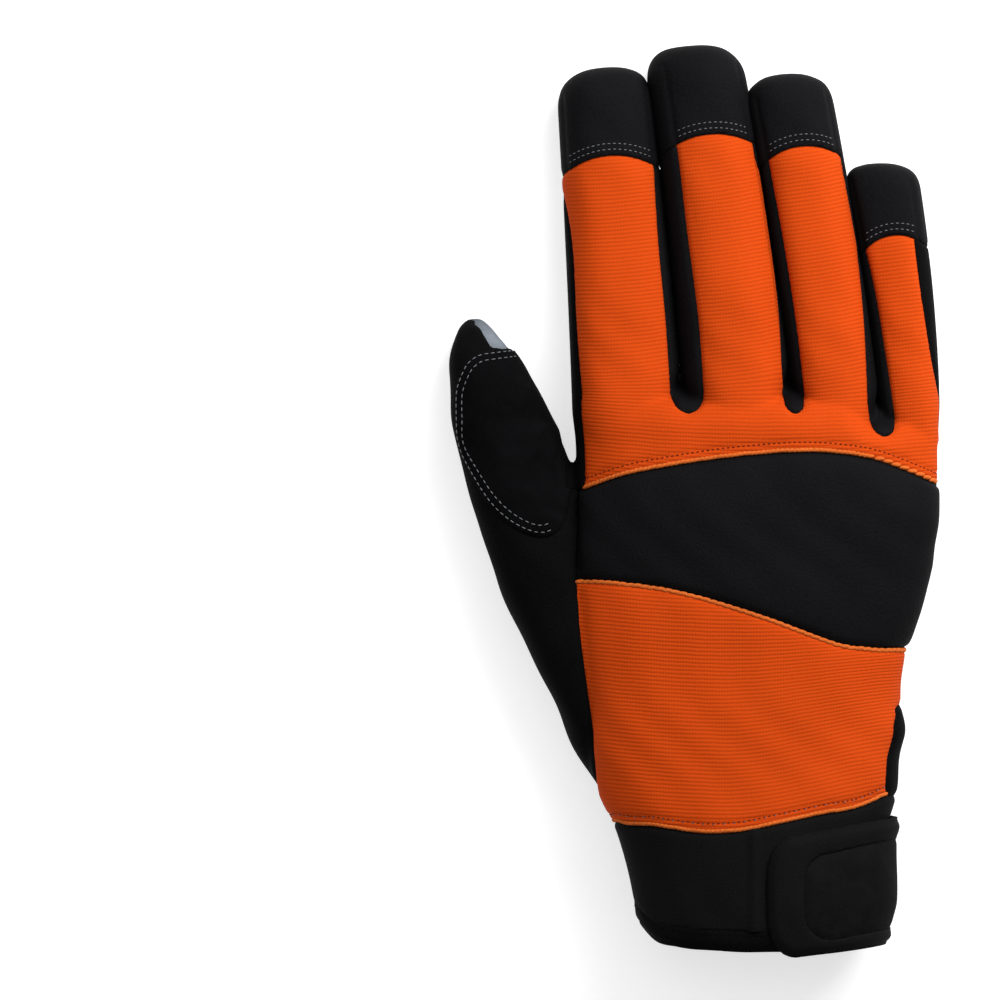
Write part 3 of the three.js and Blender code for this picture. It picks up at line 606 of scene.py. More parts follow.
def carve(mesh, field):
    """The part of a skin where the field is above 0, as a bmesh cut cleanly along the field's edge."""
    co, _ = arrays(mesh)
    values = field(co)
    corners = np.empty(len(mesh.loops), int)
    mesh.loops.foreach_get("vertex_index", corners)
    starts = np.empty(len(mesh.polygons), int)
    mesh.polygons.foreach_get("loop_start", starts)
    used = np.maximum.reduceat(values[corners], starts) > 0
    bm = bmesh.new()
    bm.from_mesh(mesh)
    layer = bm.verts.layers.float.new("field")
    for vert, value in zip(bm.verts, values):
        vert[layer] = value
    bmesh.ops.delete(bm, geom=[f for f, wanted in zip(bm.faces, used) if not wanted], context="FACES")
    # Points close to the edge move onto it, and the other edges that it crosses are split there.
    for _ in range(2):
        moves = {}
        for edge in bm.edges:
            a, b = edge.verts
            fa, fb = a[layer], b[layer]
            if (fa < 0 < fb) or (fb < 0 < fa):
                t = fa / (fa - fb)
                near, share = (a, t) if t < 0.5 else (b, 1 - t)
                if share < 0.28 and share < moves.get(near, (1, None))[0]:
                    moves[near] = (share, a.co.lerp(b.co, t))
        for vert, (_, place) in moves.items():
            vert.co = place
            vert[layer] = 0.0
    crossed = [e for e in bm.edges if e.verts[0][layer] * e.verts[1][layer] < 0]
    for edge in crossed:
        a, b = edge.verts
        _, vert = bmesh.utils.edge_split(edge, a, a[layer] / (a[layer] - b[layer]))
        vert[layer] = 0.0
    on_edge = [v for v in bm.verts if v[layer] == 0.0]
    bmesh.ops.connect_verts(bm, verts=on_edge, check_degenerate=False)
    spare = [f for f in bm.faces if sum(v[layer] for v in f.verts) <= 0]
    bmesh.ops.delete(bm, geom=spare, context="FACES")
    keep_largest(bm)
    bmesh.ops.triangulate(bm, faces=[f for f in bm.faces if len(f.verts) > 4])
    bm.verts.index_update()
    bm.normal_update()
    return bm


def keep_largest(bm):
    """Drops every loose scrap and keeps the one panel."""
    left = set(bm.faces)
    parts = []
    while left:
        part = [left.pop()]
        for face in part:
            beside_it = {other for edge in face.edges for other in edge.link_faces} & left
            left -= beside_it
            part.extend(beside_it)
        parts.append(part)
    parts.sort(key=len)
    bmesh.ops.delete(bm, geom=[face for part in parts[:-1] for face in part], context="FACES")


def edge_distance(bm, co):
    """Distance of every point from the panel's cut edge, up to a reach."""
    ends = [e.verts for e in bm.edges if e.is_boundary]
    spots = [a.co.lerp(b.co, s) for a, b in ends for s in (0.0, 0.25, 0.5, 0.75)]
    tree = KDTree(len(spots))
    for i, spot in enumerate(spots):
        tree.insert(spot, i)
    tree.balance()
    return np.array([min(tree.find(c)[2], EDGE_REACH) for c in co])


class Panel:
    """A panel of cloth: its cut, its distance from the edge and its place before and after it is shaped."""

    def __init__(self, mesh, field, shape, wall):
        self.bm = carve(mesh, field)
        self.base = np.array([v.co for v in self.bm.verts])
        self.depth = edge_distance(self.bm, self.base)
        self.wall = wall
        normals = np.array([v.normal for v in self.bm.verts])
        co = self.base + normals * shape(self.depth, self.base)[:, None]
        for vert in self.bm.verts:
            inner = [e.other_vert(vert) for e in vert.link_edges if not e.is_boundary]
            if vert.is_boundary and inner:
                way = sum((w.co - vert.co for w in inner), Vector()) / len(inner)
                way -= vert.normal * way.dot(vert.normal)
                if way.length > 1e-6:
                    co[vert.index] -= np.array(way.normalized() * LAP)
        co[:, 2] = np.maximum(co[:, 2], GROUND)
        for vert, place in zip(self.bm.verts, co):
            vert.co = place
        self.bm.normal_update()


def seam_roll(depth, width, crown, spread=3.0):
    """A panel's edge turns down into its seam and its cloth rises a little behind it."""
    def shape(d, p):
        return crown * (1 - hill(d, spread)) - depth * hill(d, width)
    return shape


def piece(name, bm, material, wall=0):
    """A Blender object from a shape in the pattern, in metres and in the frame. A wall gives it thickness."""
    for vert in bm.verts:
        vert.co = (vert.co + Vector(SHIFT)) * MM
    for face in bm.faces:
        face.smooth = True
    obj = add_object(name, to_mesh(name, bm))
    if wall:
        solid = obj.modifiers.new("cloth", "SOLIDIFY")
        solid.thickness = wall * MM
        solid.offset = -1
    obj.data.materials.append(finish(material))
    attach(obj, "root")
    return obj


# Threads

def trace(panel, values, level, mask=None):
    """Where a value on a panel equals a level: runs of points and normals, in order."""
    bm = panel.bm
    values = np.asarray(values) - level
    points = {}
    for edge in bm.edges:
        a, b = edge.verts
        fa, fb = values[a.index], values[b.index]
        if (fa < 0) != (fb < 0):
            t = fa / (fa - fb)
            spot = panel.base[a.index] * (1 - t) + panel.base[b.index] * t
            points[edge] = (a.co.lerp(b.co, t), a.normal.lerp(b.normal, t).normalized(), spot)
    keep = list(points)
    if points and mask:
        good = mask(np.array([spot for _, _, spot in points.values()])) > 0
        keep = [e for e, ok in zip(points, good) if ok]
    links = {e: [] for e in keep}
    # All is taken in the order of the panel's own edges, so that the threads come out the same each time.
    for face in dict.fromkeys(f for e in keep for f in e.link_faces):
        hits = [e for e in face.edges if e in links]
        if len(hits) == 2:
            links[hits[0]].append(hits[1])
            links[hits[1]].append(hits[0])
    runs = []
    left = set(keep)
    for start in [e for e in keep if len(links[e]) < 2] + keep:
        if start not in left:
            continue
        run = []
        following = [start]
        while following:
            run.append(following[0])
            left.discard(following[0])
            following = [e for e in links[run[-1]] if e in left]
        if len(run) > 4:
            if run[0] in links[run[-1]]:
                run.append(run[0])
            runs.append([points[e][:2] for e in run])
    return runs


def stitches(bm, runs, lift=0.1, pitch=None, length=None, width=None, slant=0.0):
    """Rows of stitches along runs of points, or of the small rolls of a turned edge."""
    sizes = bpy.context.scene.glove_sizes
    pitch = pitch or sizes.stitch_pitch / MM
    length = length or sizes.stitch_length / MM
    width = width or sizes.thread_width / MM
    lean = Matrix.Rotation(math.radians(slant), 4, "Z")
    places = []
    for run in runs:
        co = np.array([p for p, _ in run])
        no = np.array([n for _, n in run])
        for _ in range(2):
            co[1:-1] = (co[:-2] + 2 * co[1:-1] + co[2:]) / 4
        gone = np.concatenate([[0], np.cumsum(np.linalg.norm(np.diff(co, axis=0), axis=1))])
        if gone[-1] < 2 * pitch:
            continue
        count = int(gone[-1] // pitch)
        for s in (np.arange(count) + 0.5) * gone[-1] / count:
            at, before, after = (np.array([np.interp(q, gone, co[:, k]) for k in range(3)])
                                 for q in (s, s - length / 2, s + length / 2))
            normal = Vector([np.interp(s, gone, no[:, k]) for k in range(3)]).normalized()
            tangent = Vector(after - before)
            if tangent.length < 1e-6:
                continue
            tangent.normalize()
            side = normal.cross(tangent).normalized()
            normal = tangent.cross(side)
            turn = (Matrix((tangent, side, normal)).transposed().to_4x4() @ lean
                    @ Matrix.Diagonal((length / 2, width / 2, width / 2, 1)))
            turn.translation = Vector(at) + normal * lift
            turn.translation.z = max(turn.translation.z, width / 2)
            places.append(turn @ Matrix.Rotation(math.pi / 2, 4, "Y"))
    # Few at a time, because each new shape is slower to add to a large mesh
    for start in range(0, len(places), 25):
        few = bmesh.new()
        for place in places[start:start + 25]:
            bmesh.ops.create_uvsphere(few, u_segments=6, v_segments=5, radius=1, matrix=place)
        mesh = to_mesh("few", few)
        bm.from_mesh(mesh)
        bpy.data.meshes.remove(mesh)


# Materials

def linear(colour):
    """An sRGB hex colour as linear values."""
    parts = [int(colour[i:i + 2], 16) / 255 for i in (1, 3, 5)]
    return tuple(c / 12.92 if c <= 0.04045 else ((c + 0.055) / 1.055) ** 2.4 for c in parts)


def node(tree, kind, links=None, **settings):
    """Adds a node and gives its outputs. A link is a socket to read, or a value to set."""
    made = tree.nodes.new(kind)
    for key, value in settings.items():
        setattr(made, key, value)
    for socket, source in (links or {}).items():
        if isinstance(source, bpy.types.NodeSocket):
            tree.links.new(source, made.inputs[socket])
        else:
            made.inputs[socket].default_value = source
    return made.outputs


MATH, NOISE = "ShaderNodeMath", "ShaderNodeTexNoise"
RIB_PITCH, LOOP_PITCH = 1.08, 0.8  # millimetres of the knit


def rib_knit(tree):
    """Ribs 1 mm apart over finer columns of loops, with painted shade in the valleys."""
    uv = node(tree, "ShaderNodeUVMap", uv_map="Weave")[0]
    place = node(tree, "ShaderNodeSeparateXYZ", {0: uv})
    wobble = node(tree, NOISE, {"Vector": uv, "Scale": 0.12, "Detail": 2.0})[0]
    along = node(tree, MATH, {0: wobble, 1: 0.5, 2: place[1]}, operation="MULTIPLY_ADD")[0]
    turns = node(tree, MATH, {0: along, 1: 2 * math.pi / RIB_PITCH}, operation="MULTIPLY")[0]
    wave = node(tree, MATH, {0: turns}, operation="SINE")[0]
    # The ribs are round and broad, and the valleys between them narrow.
    share = node(tree, MATH, {0: wave, 1: 0.5, 2: 0.5}, operation="MULTIPLY_ADD")[0]
    ribs = node(tree, MATH, {0: share, 1: 0.6}, operation="POWER")[0]
    turns = node(tree, MATH, {0: place[0], 1: 2 * math.pi / LOOP_PITCH}, operation="MULTIPLY")[0]
    loops = node(tree, MATH, {0: turns}, operation="SINE")[0]
    fuzz = node(tree, NOISE, {"Vector": uv, "Scale": 2.2, "Detail": 3.0})[0]
    height = node(tree, MATH, {0: loops, 1: 0.1, 2: ribs}, operation="MULTIPLY_ADD")[0]
    height = node(tree, MATH, {0: fuzz, 1: 0.3, 2: height}, operation="MULTIPLY_ADD")[0]
    patches = node(tree, NOISE, {"Vector": uv, "Scale": 0.05, "Detail": 2.0})[0]
    factor = node(tree, MATH, {0: patches, 1: 0.5, 2: -0.2}, operation="MULTIPLY_ADD")[0]
    # The colour follows the height: painted shade in the valleys and between the loops, over patches of tone
    # that differ at random
    factor = node(tree, MATH, {0: height, 1: 0.7, 2: factor}, operation="MULTIPLY_ADD")[0]
    return factor, height, 0.0001


def fine_weave(scale, detail, distance):
    """A fine cloth: small even grain, with slow variation from wear."""
    def build(tree):
        place = node(tree, "ShaderNodeTexCoord")["Object"]
        grain = node(tree, NOISE, {"Vector": place, "Scale": scale, "Detail": detail})[0]
        cells = node(tree, "ShaderNodeTexVoronoi", {"Vector": place, "Scale": scale * 0.9})["Distance"]
        wear_and_painted_light = node(tree, NOISE, {"Vector": place, "Scale": 60.0, "Detail": 4.0})[0]
        height = node(tree, MATH, {0: cells, 1: -0.6, 2: grain}, operation="MULTIPLY_ADD")[0]
        factor = node(tree, MATH, {0: grain, 1: 0.8, 2: -0.35}, operation="MULTIPLY_ADD")[0]
        factor = node(tree, MATH, {0: wear_and_painted_light, 1: 0.5, 2: factor}, operation="MULTIPLY_ADD")[0]
        return factor, height, distance
    return build


def suede(nap, blotch, distance, top_painted_light=0.0):
    """Brushed leather: a short nap that lies in drifts. Where it wraps upwards it can be painted lighter, as
    light falling on it from above.
    """
    def build(tree):
        place = node(tree, "ShaderNodeTexCoord")["Object"]
        fibres = node(tree, NOISE, {"Vector": place, "Scale": nap, "Detail": 5.0, "Roughness": 0.7})[0]
        drifts = node(tree, NOISE, {"Vector": place, "Scale": blotch, "Detail": 4.0, "Distortion": 0.8})[0]
        factor = node(tree, MATH, {0: fibres, 1: 0.8, 2: -0.65}, operation="MULTIPLY_ADD")[0]
        factor = node(tree, MATH, {0: drifts, 1: 1.5, 2: factor}, operation="MULTIPLY_ADD")[0]
        if top_painted_light:
            # Painted light: from 6 to 12 mm up, where the leather wraps upwards, its colour is made paler as if
            # lit from above
            up = node(tree, "ShaderNodeSeparateXYZ", {0: place})[2]
            wear_and_painted_light = node(tree, "ShaderNodeMapRange", {0: up, 1: 0.006, 2: 0.012, 3: 0.0, 4: top_painted_light})[0]
            factor = node(tree, MATH, {0: factor, 1: wear_and_painted_light}, operation="ADD")[0]
        height = node(tree, MATH, {0: drifts, 1: 0.6, 2: fibres}, operation="MULTIPLY_ADD")[0]
        return factor, height, distance
    return build


# Each finish: its colour, the shares of it in the dark and the light parts, roughness, sheen, weave and
# specular level
FINISHES = {
    # Thick polyester rib knit: broad bright ribs with narrow valleys painted darker as shade, and no shine
    "orange_rib_knit": ("knit", 0.82, 1.01, 0.85, 0.03, rib_knit, 0.05),
    # The same knit turned over at a seam: its paler colour is a painted highlight on the roll, over a grain
    # from darker to lighter
    "turned_knit": ("edge", 0.55, 1.1, 0.85, 0.03, fine_weave(1600, 2.0, 0.0001), 0.05),
    # Polyester jersey: a plain dull black that shows hardly any grain
    "black_jersey": ("jersey", 0.5, 1.6, 0.8, 0.02, fine_weave(1700, 2.0, 0.00012), 0.03),
    # Spandex over thin foam: a smooth black with a soft light on its rounded edges
    "padded_spandex": ("pad", 0.6, 1.5, 0.75, 0.02, fine_weave(1500, 3.0, 0.00012), 0.05),
    # Synthetic suede, dyed black: the deepest black, because its nap swallows light
    "black_suede": ("suede", 0.5, 1.8, 0.95, 0.03, suede(1500, 120, 0.0002), 0.03),
    # Synthetic suede, grey: cloudy, with drifts in its nap, and painted paler where it wraps up at the thumb's
    # tip, as light from above
    "grey_suede": ("palm", 0.5, 1.5, 0.92, 0.1, suede(1200, 90, 0.00025, 0.7), 0.1),
    # Coated synthetic leather: a dark grey that is smoother than suede and shines a little
    "grip_leather": ("grip", 0.6, 1.5, 0.65, 0.0, fine_weave(1100, 3.0, 0.00015), 0.15),
    # Jersey on foam rubber: an even black over a soft, thick edge
    "neoprene_jersey": ("cuff", 0.7, 1.5, 0.8, 0.02, fine_weave(1900, 2.0, 0.0001), 0.04),
    # Brushed nylon loop: black with faint drifts of fibres
    "brushed_loop": ("strap", 0.6, 1.5, 0.9, 0.05, suede(2000, 150, 0.0002), 0.04),
    # Twisted polyester thread: pale grey dashes that catch some light
    "polyester_thread": ("thread", 0.8, 1.1, 0.5, 0.1, fine_weave(2500, 1.0, 0.00003), 0.3),
    # Thread in the colour of the knit, sunk into it: painted far darker than the knit, as the shade in the row
    # of small dents it pulls
    "orange_thread": ("knit", 0.15, 0.4, 0.7, 0.05, fine_weave(2500, 1.0, 0.00003), 0.1),
}


@functools.cache
def finish(name):
    """The named finish as a material, made once. Its weave gives the share of light and the height."""
    key, dark, light, roughness, sheen, build, specular = FINISHES[name]
    base = getattr(bpy.context.scene.glove_colours, key)
    dark, light = ((*(v * share for v in base), 1) for share in (dark, light))
    material = bpy.data.materials.new(name)
    material.use_nodes = True
    tree = material.node_tree
    tree.nodes.clear()
    factor, height, distance = build(tree)
    blend = node(tree, "ShaderNodeMix", {0: factor, 6: dark, 7: light}, data_type="RGBA", clamp_factor=False)
    bump = node(tree, "ShaderNodeBump", {"Strength": 1.0, "Distance": distance, "Height": height})
    shader = node(tree, "ShaderNodeBsdfPrincipled", {
        "Base Color": blend[2], "Roughness": roughness, "Normal": bump[0],
        "Sheen Weight": sheen, "Sheen Roughness": 0.5, "Sheen Tint": light, "Specular IOR Level": specular})
    node(tree, "ShaderNodeOutputMaterial", {"Surface": shader[0]})
    return material


def weave_map(p):
    """Across and along the glove in millimetres, along each finger where there is one."""
    x, y, _ = p.T
    across = x
    level = y - 0.0011 * (x - 4) ** 2
    along = level - 6 * smoothstep(95, 60, y) * smoothstep(-10, 40, x)
    nearest = np.full(len(p), 1e9)
    for f in FINGERS:
        u, v = f.local(x, y)
        own = (np.abs(u) < nearest) & (y > CROTCH - 16)
        t = smoothstep(-1, 12, v)
        across = np.where(own, mix(x, f.root + u, t), across)
        along = np.where(own, mix(level, CROTCH + v - 0.004 * u ** 2, t), along)
        nearest = np.where(own, np.abs(u), nearest)
    return across, along


# What a user would change

def colour(name, text, value):
    return FloatVectorProperty(name=name, description=text, subtype="COLOR", default=linear(value))


def millimetres(name, text, value):
    return FloatProperty(name=name, description=text, subtype="DISTANCE", min=0, default=value * MM)


class GloveSizes(bpy.types.PropertyGroup):
    """Sizes of the sewing"""
    stitch_pitch: millimetres("Stitch pitch", "From one stitch to the next", 1.8)
    stitch_length: millimetres("Stitch length", "Length of thread that shows", 1.2)
    thread_width: millimetres("Thread width", "Thickness of the thread", 0.28)
    wall: millimetres("Cloth", "Thickness of the cloth and leather", 1.2)


class GloveColours(bpy.types.PropertyGroup):
    """Colours of the cloth and thread"""
    knit: colour("Knit", "Ribbed knit of the back", "#BC400B")
    # Paler than the knit: a painted highlight on the rolls of the turned edges
    edge: colour("Knit edge", "Turned edges of the knit at its seams", "#DC6C2C")
    jersey: colour("Jersey", "Sides, back of the thumb and binding", "#09090A")
    pad: colour("Pad", "Knuckle pad and fingertip caps", "#0D0D0F")
    suede: colour("Thumb suede", "Patch over the thumb", "#070708")
    palm: colour("Palm suede", "Palm leather", "#555A60")
    grip: colour("Grip", "Patches on the palm", "#18181B")
    cuff: colour("Cuff", "Foam cuff", "#0E0E0F")
    strap: colour("Strap", "Panel of the wrist strap", "#0E0E0F")
    thread: colour("Thread", "Stitches", "#6C6E72")


def panel(field, shape, wall=None):
    """A panel cut from the skin and shaped."""
    return Panel(master_cloth(), field, shape, wall or bpy.context.scene.glove_sizes.wall / MM)


def dress(name, made, material, uv=None):
    """The visible piece that takes the place of the solid of that name."""
    if uv:
        layer = made.bm.loops.layers.uv.new("Weave")
        places = np.column_stack(uv(made.base))
        for face in made.bm.faces:
            for loop in face.loops:
                loop[layer].uv = places[loop.vert.index]
    obj = piece(name, made.bm, material, made.wall)
    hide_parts(name)
    obj.name = name + "_cloth"
    return obj


class GLOVE_OT_back(bpy.types.Operator):
    """Sew the knit panels and the knuckle pad of the back"""
    bl_idname = "glove.back"
    bl_label = "Back"

    def execute(self, context):
        turned = seam_roll(0.7, 0.8, 0.3)
        bend = 34  # the upper seam falls faster past it, and its stitches lie further apart

        def upper_shape(d, p):
            return turned(d, p) - 0.35 * hill(p[:, 1] - upper_seam(p[:, 0]) - 2.5, 0.5)

        def lower_shape(d, p):
            return turned(d, p) - 0.35 * hill(-cuff_field(p) - 2.4, 0.5)

        def pad_shape(d, p):
            return 1.5 * (1 - np.exp(-d / 5)) - 1.1 * hill(d, 1.1)

        def above(p):
            return p[:, 2] - SEEN

        # A turned edge is a small roll, drawn in a little at every stitch.
        rolls, dark, pale = bmesh.new(), bmesh.new(), bmesh.new()
        upper = panel(upper_field, upper_shape)
        s = upper.base[:, 1] - upper_seam(upper.base[:, 0])
        stitches(rolls, trace(upper, s, 0.35, lambda p: both(above(p), bend - p[:, 0])), 0.1, 1.3, 2.4, 1.2, 14)
        stitches(rolls, trace(upper, s, 0.35, lambda p: both(above(p), p[:, 0] - bend)), 0.1, 2.3, 3.1, 1.3, 17)
        # The knit's own thread, painted dark as the shade in the dents its stitches pull
        stitches(dark, trace(upper, s, 2.3, above), 0.0, 1.4, 0.8, 0.5)
        dress("back_panel_upper", upper, "orange_rib_knit", weave_map)
        lower = panel(lower_field, lower_shape)
        s = lower_seam(lower.base[:, 0]) - lower.base[:, 1]
        stitches(rolls, trace(lower, s, 0.3, above), 0.12, 2.1, 3.3, 1.3, 11)
        cuff = -cuff_field(lower.base)
        stitches(rolls, trace(lower, cuff, 0.4, above), 0.1, 1.3, 2.4, 1.2, 10)
        # The knit's own thread, painted dark as the shade in the dents its stitches pull
        stitches(dark, trace(lower, cuff, 2.4, above), 0.0, 1.4, 0.9, 0.4)
        stitches(pale, trace(lower, cuff, 2.2, above), 0.1, 2.8, 0.6, 0.25)
        dress("back_panel_lower", lower, "orange_rib_knit", weave_map)
        pad = panel(pad_field, pad_shape)
        dress("knuckle_pad", pad, "padded_spandex")
        # The rolls take the paler edge colour, a painted highlight
        piece("back_seam_edges", rolls, "turned_knit")
        # Painted shade: the knit's thread is coloured dark for the dents along the seams
        piece("back_stitches", dark, "orange_thread")
        piece("cuff_seam_stitches", pale, "polyester_thread")
        return {"FINISHED"}


def knit_side(f, p):
    """How far in a point lies from the sides of the finger's knit, as they run on over the cap."""
    u, v = f.at(p)
    return np.minimum(np.where(u < 0, f.left(0.9), f.right(0.9)), 0.9) * f.width(v) / 2 - np.abs(u)


def fingertip_cap(f):
    """A cap with two shallow grooves over it, where its back is sewn to its sides."""
    def field(p):
        u, v = f.at(p)
        return both(caps_field(p), f.width(v) / 2 + 0.7 - np.abs(u))

    def shape(d, p):
        u, v = f.at(p)
        groove = 0.42 * hill(knit_side(f, p), 0.6) * smoothstep(0.5, 3, f.length - 3 - v - f.tilt * u)
        return 0.3 * (1 - hill(d, 0.8)) - 0.1 - groove

    return panel(field, shape)


class GLOVE_OT_caps(bpy.types.Operator):
    """Sew the caps over the fingertips"""
    bl_idname = "glove.caps"
    bl_label = "Fingertip caps"

    def execute(self, context):
        threads = bmesh.new()
        for f in FINGERS:
            cap = fingertip_cap(f)
            for level in (1.4, 3.0):
                row = trace(cap, cap.depth, level, lambda p: knit_side(f, p) - 0.6)
                stitches(threads, row, 0.05, 1.45, 0.85, 0.24)
            dress(f"fingertip_cap_{f.name}", cap, "padded_spandex")
        piece("cap_stitches", threads, "polyester_thread")
        return {"FINISHED"}


class GLOVE_OT_sides(bpy.types.Operator):
    """Sew the black sides of the hand and the strips between the fingers"""
    bl_idname = "glove.sides"
    bl_label = "Sides"

    def execute(self, context):
        threads = bmesh.new()

        def side(name, field):
            made = panel(field, seam_roll(0.5, 0.7, 0.1))
            if name == "side_wall_index":
                stitches(threads, trace(made, made.depth, 1.2, lambda p: 4.2 - p[:, 2]))
            between = name.startswith("fourchette")
            dress(name, made, "padded_spandex" if between else "black_jersey")

        side("side_wall_index", lambda p: both(rest_field(p), thumb_gap_field(p), -beside(INDEX, p)))
        for f, g in zip(FINGERS, FINGERS[1:]):
            side(f"fourchette_{f.name}_{g.name}",
                 lambda p: both(rest_field(p), beside(f, p), -beside(g, p), -wrist_corner(p)))
        side("side_wall_little", lambda p: both(rest_field(p), np.maximum(beside(LITTLE, p), wrist_corner(p))))
        side("thumb_back",
             lambda p: both(rest_field(p), -thumb_gap_field(p), -beside(INDEX, p), -wrist_corner(p)))
        piece("side_stitches", threads, "polyester_thread")
        return {"FINISHED"}


class GLOVE_OT_palm(bpy.types.Operator):
    """Sew the palm leather, the thumb patch and the grip patches"""
    bl_idname = "glove.palm"
    bl_label = "Palm and patches"

    def execute(self, context):
        leather = panel(palm_field, seam_roll(0.6, 0.9, 0.0))
        threads = bmesh.new()
        stitches(threads, trace(leather, -cuff_field(leather.base), 1.8, lambda p: 8.5 - p[:, 2]))
        dress("palm_leather", leather, "grey_suede")

        def patch_shape(d, p):
            return 0.2 + 0.6 * (1 - hill(d, 0.7))

        # Two rows on the back, up to where the patch wraps over the inner side, and one on the palm side
        def back(p):
            return both(mix(-54, -64.5, (p[:, 1] - 114.5) / 48.2) - p[:, 0], p[:, 2] - 4)

        def palm(p):
            return 3.6 - p[:, 2]

        patch = panel(thumb_patch_field, patch_shape, wall=1.0)
        for level, mask in ((1.2, back), (3.1, back), (1.2, palm)):
            stitches(threads, trace(patch, patch.depth, level, mask))
        dress("thumb_patch", patch, "black_suede")
        for name, rows in (("palm_patch_upper", UPPER_PATCH), ("palm_patch_lower", LOWER_PATCH)):
            plate = grip_patch(rows)
            for level in (1.3, 3.0):
                stitches(threads, trace(plate, plate.depth, level), 0.0)
            if rows is LOWER_PATCH:
                for inner in (THUMB_LOBE, HEEL_LOBE):
                    at = inside(rounded(outline_of(inner)), plate.base[:, 0], plate.base[:, 1])
                    stitches(threads, trace(plate, at, 0.0), 0.0)
            dress(name, plate, "grip_leather")
        piece("palm_stitches", threads, "polyester_thread")
        return {"FINISHED"}


def grip_patch(rows):
    """A grip patch under the palm, cut from a flat sheet whose outer face is down."""
    line = rounded(outline_of(rows))
    low, high = line.min(0) - 2, line.max(0) + 2
    across, along = high - low
    bm = bmesh.new()
    bmesh.ops.create_grid(bm, x_segments=int(across / SHEET_STEP), y_segments=int(along / SHEET_STEP), size=0.5)
    bmesh.ops.scale(bm, verts=bm.verts, vec=(across, along, 1))
    bmesh.ops.translate(bm, verts=bm.verts, vec=(*((low + high) / 2), 0.0))
    bmesh.ops.reverse_faces(bm, faces=bm.faces)

    def shape(d, p):
        return -0.05 - 0.75 * hill(d, 0.9)

    return Panel(to_mesh("sheet", bm), lambda p: inside(line, p[:, 0], p[:, 1]), shape, 1.3)


class GLOVE_OT_cuff(bpy.types.Operator):
    """Sew the cuff, its binding and the wrist strap"""
    bl_idname = "glove.cuff"
    bl_label = "Cuff and strap"

    def execute(self, context):
        def band_shape(d, p):
            # A soft fold stands beside the free end of the strap.
            fold = 0.7 * hill(p[:, 0] - 0.6, 1.3) * smoothstep(12, 24, p[:, 2])
            hem = 0.12 * hill(hem_field(p) - HEM_BINDING, 0.5)
            return 0.1 - 0.9 * hill(cuff_field(p), 1.0) - hem + fold

        band = panel(lambda p: both(cuff_field(p), hem_field(p) - HEM_BINDING), band_shape, wall=1.6)
        dress("cuff_band", band, "neoprene_jersey")

        def binding_shape(d, p):
            # Shallow where it is sewn to the cuff, and turned in at the hem
            hem = hem_field(p)
            return 0.1 - 0.15 * hill(HEM_BINDING - hem, 0.5) - 1.1 * hill(hem, 1.3)

        threads = bmesh.new()
        binding = panel(lambda p: both(HEM_BINDING - hem_field(p), hem_field(p)), binding_shape, wall=2.0)
        stitches(threads, trace(binding, HEM_BINDING - hem_field(binding.base), 1.2), 0.0)
        dress("cuff_binding", binding, "black_jersey")

        def bulge(p):
            # The strap stands off the cuff where it turns round the side.
            return 1.4 * smoothstep(22, 37, p[:, 0]) * smoothstep(5, 14, p[:, 1])

        def strap_shape(d, p):
            return 1.5 + 0.5 * (1 - hill(d, 1.4)) + bulge(p)

        def border_shape(d, p):
            outer, inner = strap_field(p), strap_field(p, -STRAP_EDGE)
            return 2.1 - 1.4 * hill(outer, 1.2) - 0.35 * hill(inner, 1.1) + bulge(p)

        strap = panel(lambda p: strap_field(p, -STRAP_EDGE), strap_shape, wall=1.6)
        dress("wrist_strap", strap, "brushed_loop")
        border = panel(lambda p: both(strap_field(p), -strap_field(p, -STRAP_EDGE)), border_shape, wall=1.6)
        dress("strap_binding", border, "neoprene_jersey")
        piece("cuff_stitches", threads, "black_jersey")
        return {"FINISHED"}


# Lamps over the glove: place, aim, side and power. The key comes from the upper right, as the shadows show.
LAMPS = {
    "key": ((0.32, 0.4, 0.38), (0, 0.06, 0), 0.5, 6.2),
    "fill": ((-0.6, 0.3, 0.6), (0, 0, 0), 0.8, 1.2),
    "top": ((0.1, 0.4, 1.0), (0, 0, 0), 1.0, 3.2),
}
PICTURE_WIDTH = 0.274  # metres at the level of the glove
CAMERA_DISTANCE = 2.4
SENSOR = 36


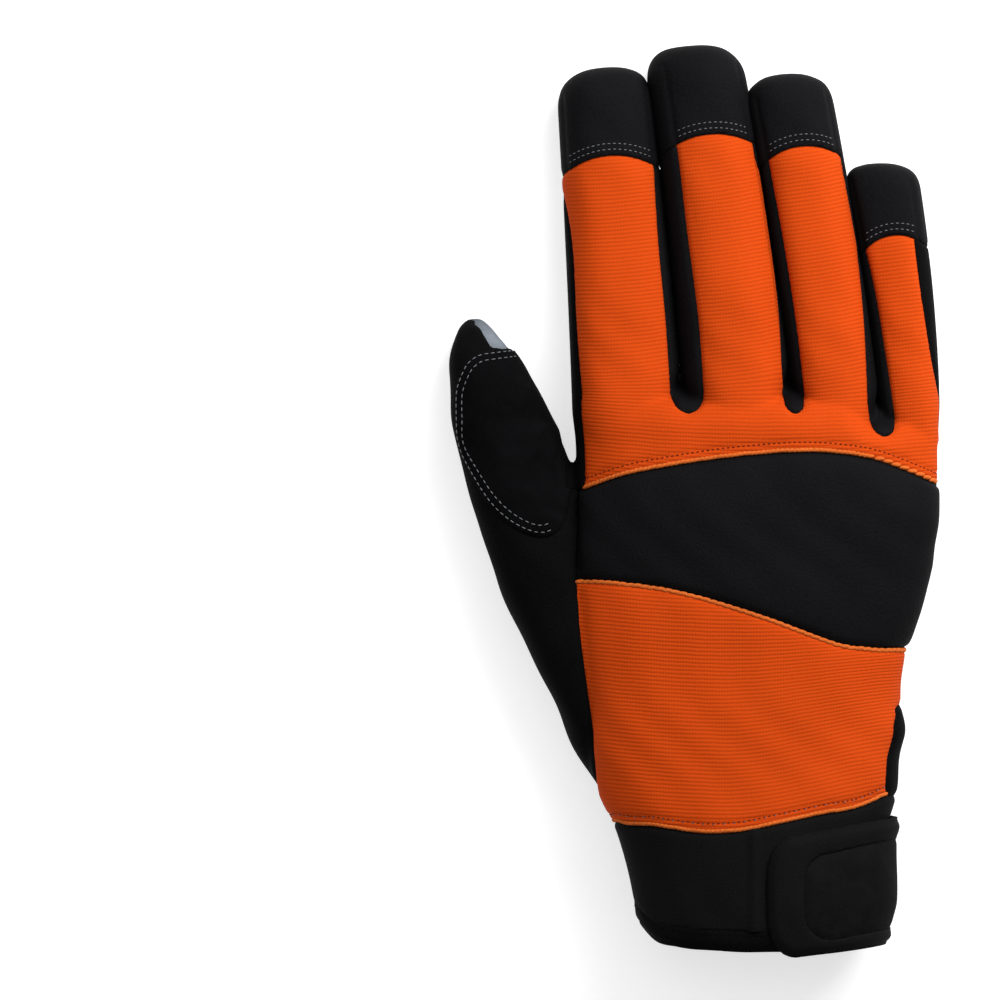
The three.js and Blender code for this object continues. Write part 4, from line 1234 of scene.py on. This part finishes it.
class GLOVE_OT_stage(bpy.types.Operator):
    """Lay the pale floor, hang the soft lights and set up the camera"""
    bl_idname = "glove.stage"
    bl_label = "Stage"

    def execute(self, context):
        scene = context.scene
        bm = bmesh.new()
        bmesh.ops.create_grid(bm, x_segments=1, y_segments=1, size=1.5)
        floor = add_object("floor", to_mesh("floor", bm))
        # White paper: it glows a little, so it stays white while the glove still throws a soft shadow
        material = bpy.data.materials.new("pale_floor")
        material.use_nodes = True
        shader = material.node_tree.nodes["Principled BSDF"]
        shader.inputs["Base Color"].default_value = (0.65, 0.65, 0.65, 1)
        shader.inputs["Emission Color"].default_value = (1, 1, 1, 1)
        shader.inputs["Emission Strength"].default_value = 0.62
        shader.inputs["Roughness"].default_value = 0.6
        floor.data.materials.append(material)
        for name, (place, aim, side, power) in LAMPS.items():
            data = bpy.data.lights.new(name, "AREA")
            data.shape = "SQUARE"
            data.size = side
            data.energy = power
            light = add_object(name, data)
            light.location = place
            light.rotation_euler = (Vector(aim) - Vector(place)).to_track_quat("-Z", "Y").to_euler()
        world = bpy.data.worlds.new("studio")
        world.use_nodes = True
        world.node_tree.nodes["Background"].inputs[0].default_value = (1, 1, 1, 1)
        world.node_tree.nodes["Background"].inputs[1].default_value = 0.25
        scene.world = world
        scene.view_settings.view_transform = "Standard"
        # The photograph looks straight down at the middle of its picture.
        view = bpy.data.cameras.new("camera")
        view.sensor_width = SENSOR
        view.lens = SENSOR * CAMERA_DISTANCE / PICTURE_WIDTH
        camera = add_object("camera", view)
        camera.location = ((SHIFT[0] - 68.5) * MM, (SHIFT[1] + 123.3) * MM, 0.022 + CAMERA_DISTANCE)
        scene.camera = camera
        return {"FINISHED"}


class GLOVE_PT_panel(bpy.types.Panel):
    """Sizes, colours and pieces of the glove"""
    bl_idname = "GLOVE_PT_panel"
    bl_label = "Mechanic glove"
    bl_space_type = "VIEW_3D"
    bl_region_type = "UI"
    bl_category = "Glove"

    def draw(self, context):
        layout = self.layout
        for group in (context.scene.glove_sizes, context.scene.glove_colours):
            column = layout.column(align=True)
            for key in group.__annotations__:
                column.prop(group, key)
        for operator in OPERATORS:
            layout.operator(operator.bl_idname)


OPERATORS = (GLOVE_OT_back, GLOVE_OT_caps, GLOVE_OT_sides, GLOVE_OT_palm, GLOVE_OT_cuff, GLOVE_OT_stage)
CLASSES = (GloveSizes, GloveColours, *OPERATORS, GLOVE_PT_panel)


def register():
    for cls in CLASSES:
        bpy.utils.register_class(cls)
    bpy.types.Scene.glove_sizes = PointerProperty(type=GloveSizes)
    bpy.types.Scene.glove_colours = PointerProperty(type=GloveColours)


def unregister():
    del bpy.types.Scene.glove_colours
    del bpy.types.Scene.glove_sizes
    for cls in reversed(CLASSES):
        bpy.utils.unregister_class(cls)


def main():
    """Sews the glove, piece by piece, in the place of its solids."""
    register()
    bpy.ops.glove.back()
    bpy.ops.glove.caps()
    bpy.ops.glove.sides()
    bpy.ops.glove.palm()
    bpy.ops.glove.cuff()
    bpy.ops.glove.stage()


if __name__ == "__main__":
    main()
